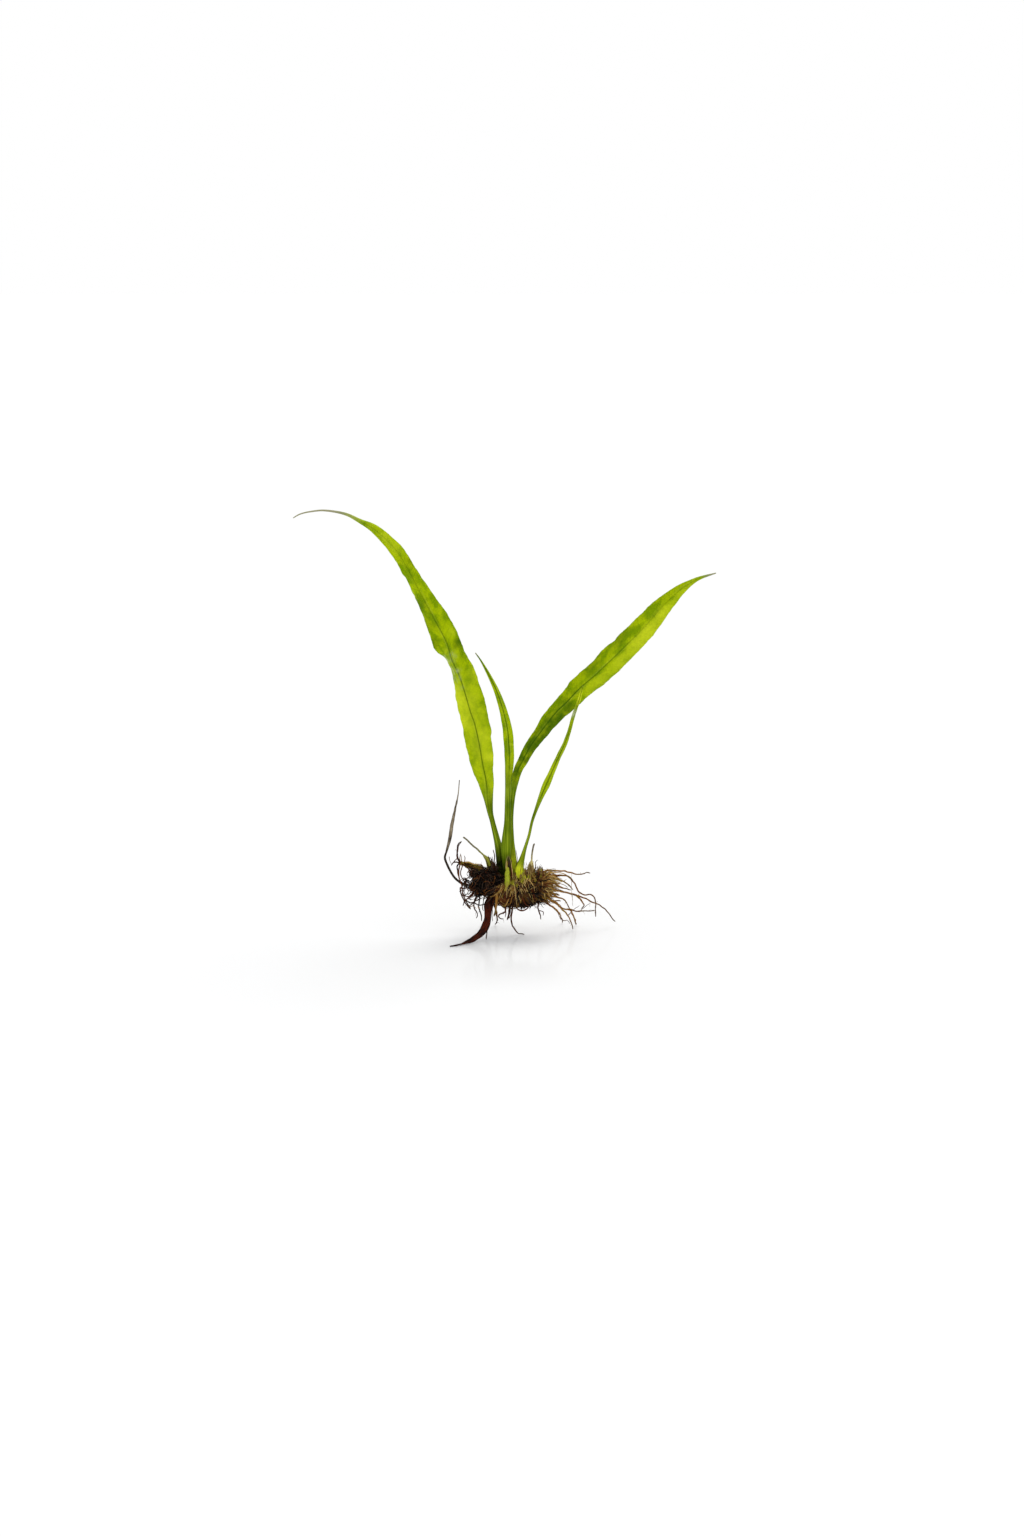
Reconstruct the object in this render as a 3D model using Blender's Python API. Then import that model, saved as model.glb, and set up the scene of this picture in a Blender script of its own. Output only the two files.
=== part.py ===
"""Java fern: a rooted plantlet with four narrow leaves, standing on its root tips.

A creeping rhizome runs from an old, thin end at the left to a blunt growing end at the
right. Leaves and broken leaf stalks rise from its top, a dead leaf hangs from its
underside down to the ground, and wiry roots spread from it on all sides. Lengths are in
millimetres here, and become metres where the meshes are made. X runs to the right, Y to
the back and Z up, with the ground at Z = 0 under the middle of the plant.
"""
import math

import bmesh
import bpy
from mathutils import Vector, noise
from mathutils.bvhtree import BVHTree

MM = 0.001

GAP = 0.3                # clear space between a root and what it grows from
FOOT_GAP = 0.45          # clear space under the wide foot of a leaf, a stalk or the mat
BLADE = 0.4              # thickness of a leaf blade beside its rib
EDGE = 0.3               # thickness of a leaf blade at its margin
RIPPLE = 0.45            # height of the waves along a leaf's margins
RIPPLE_LENGTH = 17.0     # length of one such wave
ROOT_WIDTH = 0.62        # thickness of a root where it starts
ROOT_TIP_WIDTH = 0.34    # thickness of a root at its tip
ROOT_STEP = 1.5          # distance between the rings of a root's tube
LEAF_STEP = 4.2          # longest distance between the rings of a leaf
STALK_SIDES = 8
SEAT_REACH = 4.0         # how far above its foot a leaf or stalk is surely clear of the rhizome
RHIZOME_SIDES = 12
RHIZOME_LUMPS = 0.1      # height of the rhizome's lumps, as a share of its radius
UNDERSIDE_Z = 10.6       # height of the flat spot under the rhizome
UNDERSIDE = (7.5, 8.5)   # first and last ring of that flat spot, counted in rows
MAT_CENTRE = (-9.1, -4.0, 18.7)
MAT_RADII = (4.6, 3.8, 4.5)
MAT_LUMPS = 0.16
WITHERED_FOOT = (-88, 2)  # azimuth and elevation on the mat where the withered leaf starts
WITHERED_THICKNESS = (0.9, 0.4)

# Rhizome: x, y, z, radius, from the old end to the growing end
RHIZOME = [
    (-16.2, 1.0, 25.9, 0.6),
    (-13.6, 1.0, 25.2, 0.8),
    (-10.4, 1.0, 24.3, 0.9),
    (-7.6, 0.8, 22.9, 1.2),
    (-5.5, 0.4, 20.5, 2.1),
    (-3.4, 0.0, 17.7, 3.3),
    (-0.5, 0.0, 15.5, 4.5),
    (3.0, 0.0, 15.2, 5.4),
    (6.5, 0.0, 15.9, 5.8),
    (9.7, 0.0, 16.8, 5.6),
    (12.1, 0.0, 17.3, 5.2),
    (14.2, 0.0, 17.5, 4.4),
    (15.7, 0.0, 17.7, 2.6),
    (16.4, 0.0, 17.8, 1.2),
]

# Leaves: x, y, z of the rib, width of the left and right half of the blade, and how many
# degrees each half turns towards the front
LEAF_LEFT = [
    (-1.1, 0.7, 21.2, 1.4, 1.4, 0, 0),
    (-1.4, 0.8, 24.7, 1.4, 1.4, 0, 0),
    (-1.9, 0.8, 30.5, 1.4, 1.4, 0, 0),
    (-2.8, 1.0, 34.7, 1.1, 1.1, 0, 0),
    (-4.2, 1.3, 40.4, 0.9, 0.9, 0, 0),
    (-5.1, 1.6, 43.9, 1.0, 1.1, 0, 0),
    (-5.8, 2.0, 48.8, 1.6, 1.8, -5, 5),
    (-6.5, 2.6, 55.1, 3.2, 2.8, -10, 10),
    (-7.6, 3.2, 60.4, 4.3, 3.9, -15, 15),
    (-8.8, 4.0, 67.4, 5.0, 4.9, -18, 20),
    (-10.3, 4.8, 74.3, 5.0, 5.5, -22, 18),
    (-12.1, 5.4, 79.6, 5.0, 6.1, -32, 12),
    (-13.8, 6.0, 85.5, 5.2, 5.9, -45, 8),
    (-15.9, 6.4, 91.8, 5.2, 5.8, -62, 0),
    (-18.2, 6.8, 96.7, 4.8, 5.3, -72, -8),
    (-19.4, 7.0, 100.6, 5.2, 4.9, -35, -5),
    (-20.6, 7.2, 104.1, 5.1, 4.9, -15, 0),
    (-24.3, 7.5, 111.1, 4.3, 4.9, -30, 8),
    (-28.1, 7.8, 118.1, 3.7, 4.0, -45, 15),
    (-33.5, 8.0, 128.6, 2.9, 2.8, -30, 20),
    (-37.8, 8.0, 135.6, 2.4, 2.4, -15, 10),
    (-44.7, 7.6, 142.6, 1.6, 1.6, 0, 0),
    (-50.2, 7.0, 145.8, 1.1, 1.1, 0, 0),
    (-55.4, 6.2, 148.4, 0.7, 0.7, 0, 0),
    (-62.2, 5.0, 149.7, 0.4, 0.4, 0, 0),
    (-70.8, 3.6, 148.6, 0.3, 0.3, 0, 0),
    (-73.2, 3.0, 147.3, 0.2, 0.2, 0, 0),
]
LEAF_CENTRE = [
    (0.9, -1.3, 20.3, 1.1, 1.1, 0, 0),
    (1.0, -1.4, 23.5, 1.0, 1.0, 0, 0),
    (1.2, -1.6, 27.4, 1.0, 1.0, 0, 0),
    (1.2, -2.0, 34.6, 1.0, 1.0, 0, 0),
    (1.2, -2.5, 41.8, 1.0, 1.0, 0, 0),
    (1.1, -3.0, 49.0, 1.0, 1.0, 0, 0),
    (1.2, -3.5, 54.5, 1.0, 1.1, 0, 0),
    (1.7, -4.3, 61.7, 1.6, 1.5, 10, 10),
    (1.6, -5.0, 67.8, 1.8, 1.8, 15, 15),
    (1.1, -5.8, 74.3, 1.8, 1.7, 20, 15),
    (0.0, -6.8, 80.8, 1.5, 1.5, 20, 10),
    (-1.2, -7.6, 86.2, 1.1, 1.1, 10, 5),
    (-2.7, -8.4, 90.5, 0.9, 0.9, 5, 0),
    (-5.0, -9.2, 95.2, 0.6, 0.6, 0, 0),
    (-7.6, -9.8, 99.3, 0.4, 0.4, 0, 0),
    (-10.0, -10.2, 102.0, 0.2, 0.2, 0, 0),
]
LEAF_RIGHT = [
    (2.7, 1.3, 20.5, 0.9, 0.9, 0, 0),
    (2.6, 1.4, 23.5, 0.9, 0.9, 0, 0),
    (2.5, 1.5, 27.4, 0.9, 0.9, 0, 0),
    (2.3, 1.7, 33.9, 0.9, 0.9, 0, 0),
    (2.3, 2.0, 41.0, 0.8, 0.8, 0, 0),
    (2.6, 2.3, 48.1, 1.0, 1.0, 0, 0),
    (3.3, 2.8, 53.3, 1.2, 1.3, 0, 5),
    (4.7, 3.3, 58.6, 1.5, 1.6, 0, 10),
    (6.5, 3.8, 62.1, 1.7, 1.9, 0, 15),
    (8.9, 4.5, 66.6, 2.0, 2.2, 5, 20),
    (11.9, 5.3, 70.7, 2.2, 2.7, 8, 25),
    (14.6, 6.0, 74.3, 2.7, 3.0, 10, 25),
    (18.1, 6.9, 78.6, 3.2, 3.5, 12, 22),
    (21.6, 7.7, 81.9, 3.6, 3.8, 15, 18),
    (26.5, 8.8, 86.9, 4.2, 4.1, 15, 12),
    (31.8, 9.8, 91.3, 4.6, 4.5, 18, 10),
    (37.0, 10.8, 96.1, 5.0, 4.7, 20, 8),
    (42.3, 11.6, 101.2, 4.9, 4.6, 20, 5),
    (47.6, 12.4, 106.4, 4.5, 4.4, 15, 0),
    (51.1, 12.9, 110.2, 4.1, 4.1, 10, -5),
    (54.6, 13.3, 114.2, 3.5, 3.5, 5, -5),
    (58.1, 13.6, 117.7, 2.7, 2.7, 0, -5),
    (61.6, 13.8, 120.9, 1.9, 1.9, 0, 0),
    (65.1, 14.0, 123.3, 1.1, 1.1, 0, 0),
    (68.6, 14.1, 125.1, 0.6, 0.6, 0, 0),
    (74.2, 14.2, 126.8, 0.2, 0.2, 0, 0),
]
LEAF_SMALL = [
    (5.0, -2.0, 20.4, 1.5, 1.5, 0, 0),
    (5.1, -2.3, 22.5, 1.6, 1.6, 0, 0),
    (5.3, -2.7, 25.0, 1.6, 1.5, 0, 0),
    (6.0, -3.0, 27.6, 1.0, 1.0, 0, 0),
    (7.2, -3.6, 32.0, 0.6, 0.6, 0, 0),
    (8.6, -4.3, 36.8, 0.5, 0.5, 0, 0),
    (9.6, -5.0, 41.6, 0.5, 0.5, 0, 0),
    (11.0, -5.6, 46.0, 0.6, 0.6, 0, 0),
    (12.7, -6.2, 50.7, 0.9, 0.9, 0, 5),
    (14.5, -6.8, 55.1, 1.3, 1.3, 5, 10),
    (16.5, -7.4, 59.8, 1.1, 1.1, 15, 20),
    (18.6, -8.0, 64.8, 1.0, 1.0, 25, 30),
    (20.7, -8.6, 69.5, 1.0, 1.0, 35, 35),
    (22.4, -9.2, 74.2, 0.9, 0.8, 50, 45),
    (23.7, -9.7, 79.2, 0.8, 0.6, 68, 60),
    (24.8, -10.0, 82.7, 0.6, 0.5, 68, 60),
    (25.8, -10.3, 85.6, 0.6, 0.6, 30, 30),
    (27.1, -10.8, 90.5, 0.2, 0.2, 0, 0),
]
LEAF_WITHERED = [
    (-15.8, -2.5, 19.7, 0.6, 0.6, 0, 0),
    (-17.7, -2.8, 21.5, 0.5, 0.5, 0, 0),
    (-19.4, -3.0, 24.4, 0.5, 0.5, 0, 0),
    (-20.5, -3.2, 27.0, 0.4, 0.4, 20, 20),
    (-20.9, -3.4, 28.8, 0.4, 0.4, 30, 30),
    (-20.2, -3.6, 31.3, 0.4, 0.4, 20, 20),
    (-19.1, -4.0, 35.7, 0.6, 0.6, 0, 0),
    (-18.4, -4.4, 40.4, 0.6, 0.6, 10, 10),
    (-17.3, -5.0, 45.9, 0.4, 0.4, 30, 30),
    (-16.2, -5.6, 51.3, 0.2, 0.2, 0, 0),
    (-15.7, -6.2, 56.7, 0.15, 0.15, 0, 0),
]
LEAF_DEAD = [
    (-4.5, -1.5, 14.4, 1.2, 1.2, 0, 0),
    (-4.9, -2.2, 13.3, 1.4, 1.4, 0, 0),
    (-5.6, -3.4, 11.4, 1.7, 1.7, 0, 0),
    (-5.8, -5.0, 9.4, 1.3, 1.3, 0, 0),
    (-6.0, -6.6, 7.3, 1.3, 1.2, 10, 10),
    (-6.9, -8.6, 4.8, 1.5, 1.4, 15, 15),
    (-8.6, -10.6, 2.9, 1.3, 1.2, 20, 20),
    (-11.2, -12.8, 1.4, 1.1, 1.0, 20, 20),
    (-13.4, -14.6, 0.75, 0.6, 0.6, 10, 10),
    (-15.1, -16.0, 0.4, 0.3, 0.3, 0, 0),
    (-17.2, -17.6, 0.3, 0.3, 0.3, 0, 0),
    (-18.9, -18.6, 0.2, 0.2, 0.2, 0, 0),
]

# Every leaf on the rhizome: its rows, the thickness of its stalk and of its rib, its finish
LEAVES = {
    "leaf_left": (LEAF_LEFT, 2.6, 0.9, "leaf"),
    "leaf_centre": (LEAF_CENTRE, 1.9, 0.8, "leaf"),
    "leaf_right": (LEAF_RIGHT, 1.8, 0.8, "leaf"),
    "leaf_small": (LEAF_SMALL, 2.4, 0.6, "leaf"),
    "leaf_dead": (LEAF_DEAD, 1.2, 0.5, "dead"),
}

# Broken leaf stalks and a new shoot: x, y, z, radius
STALKS = {
    "stalk_old_left": [
        (-4.8, -0.6, 22.3, 1.0),
        (-5.0, -0.6, 24.3, 1.0),
        (-5.6, -0.6, 26.4, 1.3),
        (-7.0, -0.6, 28.4, 1.1),
        (-9.0, -0.8, 30.6, 0.6),
        (-11.1, -1.0, 32.4, 0.4),
        (-13.0, -1.2, 34.3, 0.3),
        (-14.6, -1.4, 35.5, 0.45),
    ],
    "stalk_old_right": [
        (9.1, 0.4, 22.1, 1.1),
        (9.2, 0.5, 24.1, 1.1),
        (9.5, 0.6, 26.2, 0.6),
        (9.7, 0.7, 28.7, 0.35),
        (10.0, 0.8, 31.2, 0.3),
        (10.6, 0.9, 32.8, 0.3),
    ],
    "shoot_new": [
        (0.9, -4.0, 18.9, 0.9),
        (0.9, -5.2, 20.8, 0.9),
        (1.0, -6.2, 20.8, 0.9),
        (0.8, -6.9, 19.3, 0.7),
        (0.1, -7.1, 17.4, 0.25),
    ],
}

# Roots from the rhizome: row and angle where each leaves it, then its way as x, y, z
RHIZOME_ROOTS = {
    "root_right_01": (10.7, -25, [
        (17.8, 3.0, 22.6), (21.7, 3.8, 22.1), (24.9, 4.6, 21.2), (26.7, 5.1, 20.8),
        (28.1, 5.5, 21.0), (29.1, 5.9, 21.4), (30.4, 6.3, 20.9)]),
    "root_right_02": (11.1, 25, [
        (18.4, -1.6, 21.8), (21.6, -2.4, 21.9), (23.0, -2.9, 21.2), (24.4, -3.5, 19.7),
        (25.3, -4.0, 17.8), (26.0, -4.4, 16.5), (28.2, -5.0, 15.5), (30.0, -5.4, 15.8),
        (31.4, -5.8, 15.0), (31.9, -6.1, 13.2), (31.9, -6.3, 10.8), (31.9, -6.4, 8.1)]),
    "root_right_03": (11.5, -60, [
        (18.2, 3.2, 19.5), (20.3, 4.4, 18.7), (21.7, 5.4, 17.6), (23.2, 6.3, 16.4),
        (24.4, 7.2, 14.7)]),
    "root_right_04": (11.3, 70, [
        (17.7, -3.6, 19.2), (20.2, -5.2, 18.2), (21.9, -6.4, 18.0), (23.3, -7.4, 17.7)]),
    "root_right_05": (12.3, -140, [
        (18.1, 1.2, 15.8), (20.6, 2.2, 15.1), (23.1, 3.4, 14.3), (25.6, 4.6, 13.3),
        (29.2, 6.4, 11.6), (31.0, 7.4, 10.3), (33.2, 8.6, 9.2), (35.0, 9.6, 7.8),
        (36.4, 10.6, 6.4), (37.5, 11.6, 4.5), (38.6, 12.5, 2.8), (39.5, 13.2, 1.8)]),
    "root_right_07": (11.2, 108, [
        (17.0, -5.0, 16.1), (19.4, -7.0, 15.8)]),
    "root_right_08": (12.1, 135, [
        (18.1, -2.6, 14.6), (19.8, -3.6, 14.0), (21.1, -4.2, 13.5), (21.9, -4.8, 12.4),
        (22.8, -5.4, 10.9)]),
    "root_right_09": (11.2, -142, [
        (16.4, 3.2, 12.1), (18.2, 4.2, 10.7), (19.6, 5.0, 9.1), (21.4, 5.8, 8.1),
        (23.5, 6.4, 7.8), (25.0, 6.8, 7.2), (27.5, 7.4, 7.1), (30.3, 7.8, 7.0),
        (32.1, 8.0, 7.1)]),
    "root_right_10": (11.1, 140, [
        (17.0, -3.4, 13.3), (19.8, -5.0, 13.4)]),
    "root_right_11": (10.0, -148, [
        (16.4, 5.0, 9.4), (18.2, 8.5, 7.5), (19.6, 13.0, 4.7), (20.5, 17.0, 2.0),
        (20.7, 19.2, 0.2)]),
    "root_right_12": (11.2, 180, [
        (16.7, -0.2, 12.4), (18.8, 0.2, 10.8), (20.6, 1.4, 8.7), (22.1, 2.8, 6.8),
        (23.2, 4.6, 4.4), (24.1, 6.6, 1.8), (24.3, 7.9, 0.2)]),
    "root_under_01": (5.3, -155, [
        (-3.0, 4.6, 7.7), (-2.7, 8.6, 4.6), (-2.8, 12.2, 2.4), (-3.5, 15.6, 0.2)]),
    "root_under_02": (6.3, 168, [
        (0.3, -1.2, 8.9), (-0.4, -1.4, 8.3), (-1.6, -1.6, 7.9), (-2.1, -1.8, 7.1),
        (-1.4, -2.0, 6.3), (-0.2, -2.2, 6.3)]),
    "root_under_03": (6.7, -160, [
        (1.9, 1.8, 8.1), (1.5, 2.2, 6.6), (1.3, 2.5, 5.6), (0.9, 2.8, 4.7)]),
    "root_under_04": (6.9, 172, [
        (2.3, -0.6, 6.6), (2.7, -0.4, 3.7), (3.8, -0.2, 2.0), (4.9, 0.0, 0.7),
        (6.9, 0.4, 0.2)]),
    "root_under_05": (9.4, -165, [
        (11.8, 2.0, 9.3), (12.3, 2.6, 7.6), (12.6, 3.0, 6.2), (12.9, 3.4, 4.9)]),
    "root_under_06": (4.9, -170, [
        (-5.1, -0.4, 9.1), (-5.8, -2.4, 6.7), (-6.2, -5.0, 4.4), (-6.3, -7.0, 2.3),
        (-6.3, -8.3, 0.2)]),
    "root_under_07": (4.9, -120, [
        (-4.8, 7.0, 7.9), (-6.1, 11.2, 4.8), (-7.0, 14.8, 2.1), (-7.4, 17.4, 0.2)]),
    "root_left_02": (0.25, 170, [
        (-16.7, -0.4, 24.3), (-16.5, -0.8, 22.5), (-15.9, -1.2, 20.9)]),
    "root_left_04": (0.3, 15, [
        (-16.6, 1.0, 28.3), (-16.6, 0.9, 30.4), (-16.4, 0.8, 32.2), (-15.3, 0.6, 33.6)]),
    "root_left_05": (0.1, 110, [
        (-18.0, -0.4, 26.2), (-18.7, -0.4, 25.0)]),
    "root_back_01": (10.2, -75, [
        (9.4, 8.5, 19.1), (11.9, 13.0, 17.1), (13.0, 17.0, 14.1), (12.3, 19.4, 11.0)]),
    "root_back_02": (8.2, -95, [
        (6.9, 8.6, 16.6), (8.3, 13.0, 13.8), (8.0, 16.5, 10.5), (9.1, 18.6, 7.9)]),
    "root_back_03": (7.1, -90, [
        (2.6, 8.8, 16.2), (1.6, 13.4, 13.0), (2.3, 16.8, 9.4), (3.7, 18.4, 6.8)]),
    "root_back_04": (6.0, -85, [
        (-1.3, 8.4, 16.3), (-3.4, 13.0, 13.8), (-5.6, 16.0, 11.7), (-6.3, 17.6, 9.2)]),
    "root_back_05": (4.4, -85, [
        (-6.6, 6.4, 19.9), (-9.1, 10.4, 18.0), (-10.6, 13.6, 14.8), (-9.5, 15.4, 11.9)]),
}

# Roots that fork from another root: the whole way as x, y, z
FORKED_ROOTS = {
    "root_right_06": [(26.6, 4.6, 12.1), (27.7, 4.0, 10.7), (28.0, 3.8, 9.8), (27.2, 3.6, 8.6)],
    "root_right_13": [(23.6, 7.4, 7.2), (24.4, 9.4, 4.8), (25.1, 12.0, 2.8), (25.5, 15.6, 0.2)],
}

# Roots from the mat: azimuth and elevation where each leaves it, then its way as x, y, z
MAT_ROOTS = {
    "root_left_01": (-88, -12, [
        (-15.6, -2.6, 17.5), (-15.0, -2.7, 14.7), (-13.9, -2.8, 12.5), (-13.2, -2.9, 11.1),
        (-12.1, -3.0, 9.9)]),
    "root_left_03": (-60, -48, [
        (-13.2, -5.0, 14.0), (-13.9, -4.8, 12.8), (-12.6, -4.4, 11.6), (-10.8, -4.2, 12.4)]),
    "root_left_06": (20, -68, [
        (-9.2, -2.6, 10.8), (-8.5, -2.8, 9.1), (-8.1, -3.0, 7.3), (-7.9, -3.2, 5.6)]),
    "root_left_07": (-170, -65, [
        (-10.8, 0.2, 9.9), (-10.0, 0.4, 8.5), (-9.6, 0.4, 7.0), (-9.9, 0.2, 6.0)]),
}


def srgb(red, green, blue):
    """Linear colour of a screen colour from 0 to 255"""
    return [(c / 255.0) ** 2.2 for c in (red, green, blue)] + [1.0]


FINISHES = {
    "leaf": (srgb(135, 163, 14), 0.35),
    "withered": (srgb(142, 130, 112), 0.7),
    "dead": (srgb(68, 24, 9), 0.5),
    "stalk": (srgb(165, 150, 66), 0.6),
    "rhizome": (srgb(70, 42, 20), 0.75),
    "root": (srgb(84, 62, 34), 0.7),
    "mat": (srgb(16, 12, 9), 0.85),
}


def clear_scene():
    """Remove whatever the scene holds"""
    for found in list(bpy.data.objects):
        bpy.data.objects.remove(found, do_unlink=True)


def make_finish(name):
    """Material of a named colour and roughness"""
    colour, roughness = FINISHES[name]
    material = bpy.data.materials.new(name)
    material.use_nodes = True
    shader = material.node_tree.nodes["Principled BSDF"]
    shader.inputs["Base Color"].default_value = colour
    shader.inputs["Roughness"].default_value = roughness
    shader.inputs["Metallic"].default_value = 0.0
    return material


def make_object(name, data, finish):
    """Object of a mesh or a curve, with its material, in the scene"""
    made = bpy.data.objects.new(name, data)
    data.materials.append(make_finish(finish))
    bpy.context.scene.collection.objects.link(made)
    return made


def between(rows, place):
    """Row at a place from 0 to the last row, on a smooth curve through all rows"""
    index = min(int(place), len(rows) - 2)
    part = place - index
    near = [rows[min(max(k, 0), len(rows) - 1)] for k in range(index - 1, index + 3)]
    return [
        0.5 * (2 * b + (c - a) * part + (2 * a - 5 * b + 4 * c - d) * part ** 2
               + (3 * b - a - 3 * c + d) * part ** 3)
        for a, b, c, d in zip(*near)
    ]


def direction(rows, place):
    """Way that the curve through the rows runs at a place"""
    step = 0.02
    start = Vector(between(rows, max(place - step, 0))[:3])
    end = Vector(between(rows, min(place + step, len(rows) - 1))[:3])
    return (end - start).normalized()


def loft_shape(rings):
    """Closed shape through rings of points, made by extruding its end face ring by ring"""
    bm = bmesh.new()
    ring = bmesh.ops.create_circle(bm, cap_ends=True, segments=len(rings[0]), radius=1)["verts"]
    face = bm.faces[:][0]
    for vert, point in zip(ring, rings[0]):
        vert.co = point * MM
    for number, points in enumerate(rings[1:]):
        made = bmesh.ops.extrude_face_region(bm, geom=[face])["geom"]
        if number:
            bmesh.ops.delete(bm, geom=[face], context="FACES_ONLY")
        new = {item for item in made if isinstance(item, bmesh.types.BMVert)}
        face = next(item for item in made if isinstance(item, bmesh.types.BMFace))
        ring = [next(e.other_vert(v) for e in v.link_edges if e.other_vert(v) in new) for v in ring]
        for vert, point in zip(ring, points):
            vert.co = point * MM
    bmesh.ops.recalc_face_normals(bm, faces=bm.faces[:])
    return bm


def add_shape(name, bm, finish):
    """Smooth-shaded object of a shape"""
    mesh = bpy.data.meshes.new(name)
    bm.to_mesh(mesh)
    bm.free()
    mesh.shade_smooth()
    return make_object(name, mesh, finish)


def rhizome_skin(place, angle):
    """Point on the rhizome: angle 0 is up and 90 the front"""
    x, y, z, radius = between(RHIZOME, place)
    along = direction(RHIZOME, place)
    up = (Vector((0, 0, 1)) - along * along.z).normalized()
    front = along.cross(up)
    turn = math.radians(angle)
    out = up * math.cos(turn) + front * math.sin(turn)
    lump = noise.noise(Vector((x, y, z)) * 0.3 + out * 1.2)
    return Vector((x, y, z)) + out * radius * (1 + RHIZOME_LUMPS * lump)


def above_rhizome(place, angle, height):
    """Point at a height straight out from the rhizome's skin"""
    before, after = max(place - 0.05, 0), min(place + 0.05, len(RHIZOME) - 1)
    lengthwise = rhizome_skin(after, angle) - rhizome_skin(before, angle)
    around = rhizome_skin(place, angle + 2) - rhizome_skin(place, angle - 2)
    return rhizome_skin(place, angle) + around.cross(lengthwise).normalized() * height


def rhizome_rings(lift=0.0):
    """Rings at a lift over the rhizome's skin, with the flat spot on its underside"""
    step = 360 / RHIZOME_SIDES
    rings = []
    for half in range(2 * (len(RHIZOME) - 1) + 1):
        place = half / 2
        ring = [above_rhizome(place, step * (k + 0.5), lift) for k in range(RHIZOME_SIDES)]
        if UNDERSIDE[0] <= place <= UNDERSIDE[1]:
            for k in (RHIZOME_SIDES // 2 - 1, RHIZOME_SIDES // 2):
                ring[k].z = UNDERSIDE_Z - lift
        rings.append(ring)
    return rings


def rhizome_clearance():
    """Surface a little outside the rhizome, which its neighbours stay clear of"""
    bm = loft_shape(rhizome_rings(FOOT_GAP))
    tree = BVHTree.FromBMesh(bm)
    bm.free()
    return tree


def seat(ring, along, clearance):
    """Foot ring of a leaf or stalk, slid along it onto the rhizome's clearance"""
    seated = []
    for point in ring:
        place = clearance.ray_cast((point + along * SEAT_REACH) * MM, -along)[0]
        seated.append(place / MM if place else point)
    return seated


def blade_ring(row, along, stalk, rib, travelled):
    """Ten points around a leaf: across its front from left to right, and back behind it"""
    x, y, z, left, right, turn_left, turn_right = row
    centre = Vector((x, y, z))
    across = along.cross(Vector((0, -1, 0))).normalized()
    out = across.cross(along).normalized()
    is_blade = min(max((left + right - stalk) / stalk, 0.0), 1.0)
    thick = stalk * (1 - is_blade) + rib * is_blade
    thick = min(thick, left + right)
    wave = RIPPLE * is_blade * math.sin(2 * math.pi * travelled / RIPPLE_LENGTH)
    columns = []
    for share in (-1.0, -0.5, 0.0, 0.5, 1.0):
        half, turn, side = (left, turn_left, -1) if share < 0 else (right, turn_right, 1)
        turn = math.radians(turn)
        arm = across * (side * math.cos(turn)) + out * math.sin(turn)
        face = out * math.cos(turn) - across * (side * math.sin(turn)) if share else out
        offset = abs(share) * half
        bulge = max(1 - (offset / (0.62 * thick)) ** 2, 0.0)
        least = EDGE if abs(share) == 1 else BLADE
        depth = max(0.5 * thick * math.sqrt(bulge), 0.5 * min(least, 0.8 * thick))
        middle = centre + arm * offset + out * (wave * side * share * share)
        columns.append((middle + face * depth, middle - face * depth))
    return [front for front, back in columns] + [back for front, back in reversed(columns)]


def make_leaf(name, rows, stalk, rib, finish, clearance):
    """Leaf: a round stalk, seated on the rhizome if asked, that widens into a ribbed blade"""
    rings = []
    travelled = 0.0
    for index in range(len(rows) - 1):
        length = (Vector(rows[index + 1][:3]) - Vector(rows[index][:3])).length
        count = max(round(length / LEAF_STEP), 1)
        for part in range(count):
            place = index + part / count
            rings.append(blade_ring(between(rows, place), direction(rows, place),
                                    stalk, rib, travelled + length * part / count))
        travelled += length
    rings.append(blade_ring(rows[-1], direction(rows, len(rows) - 1), stalk, rib, travelled))
    if clearance:
        rings[0] = seat(rings[0], direction(rows, 0), clearance)
    return add_shape(name, loft_shape(rings), finish)


def make_stalk(name, rows, clearance):
    """Round stalk along x, y, z, radius rows, standing on the rhizome"""
    rings = []
    for half in range(2 * len(rows) - 1):
        x, y, z, radius = between(rows, half / 2)
        along = direction(rows, half / 2)
        side = along.cross(Vector((0, 1, 0))).normalized()
        front = along.cross(side)
        turns = [2 * math.pi * k / STALK_SIDES for k in range(STALK_SIDES)]
        rings.append([Vector((x, y, z)) + (side * math.cos(t) + front * math.sin(t)) * radius
                      for t in turns])
    rings[0] = seat(rings[0], direction(rows, 0), clearance)
    return add_shape(name, loft_shape(rings), "stalk")


def make_root(name, points, width=ROOT_WIDTH):
    """Root along its points as a curve with closed ends, thinning towards its tip"""
    curve = bpy.data.curves.new(name, "CURVE")
    curve.dimensions = "3D"
    curve.bevel_depth = MM
    curve.bevel_resolution = 1
    curve.use_fill_caps = True
    last = len(points) - 1
    places = []
    for index in range(last):
        length = (Vector(points[index + 1]) - Vector(points[index])).length
        count = max(round(length / ROOT_STEP), 1)
        places += [index + part / count for part in range(count)]
    places.append(last)
    spline = curve.splines.new("POLY")
    spline.points.add(len(places) - 1)
    for point, place in zip(spline.points, places):
        x, y, z = between(points, place)
        point.co = (x * MM, y * MM, z * MM, 1.0)
        point.radius = (width + (ROOT_TIP_WIDTH - width) * place / last) / 2
    spline.use_smooth = True
    return make_object(name, curve, "root")


def mat_skin(out, lift=0.0):
    """Point on the root mat in a direction from its centre"""
    size = 1 + MAT_LUMPS * noise.noise(out * 2.3)
    reach = Vector([radius * size * part for radius, part in zip(MAT_RADII, out)])
    return Vector(MAT_CENTRE) + reach + out * lift


def above_mat(azimuth, elevation, height):
    """Point at a height over the root mat: azimuth 0 is the front and 90 the right"""
    turn = math.radians(azimuth)
    rise = math.radians(elevation)
    level = math.cos(rise)
    out = Vector((math.sin(turn) * level, -math.cos(turn) * level, math.sin(rise)))
    return mat_skin(out, height)


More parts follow.
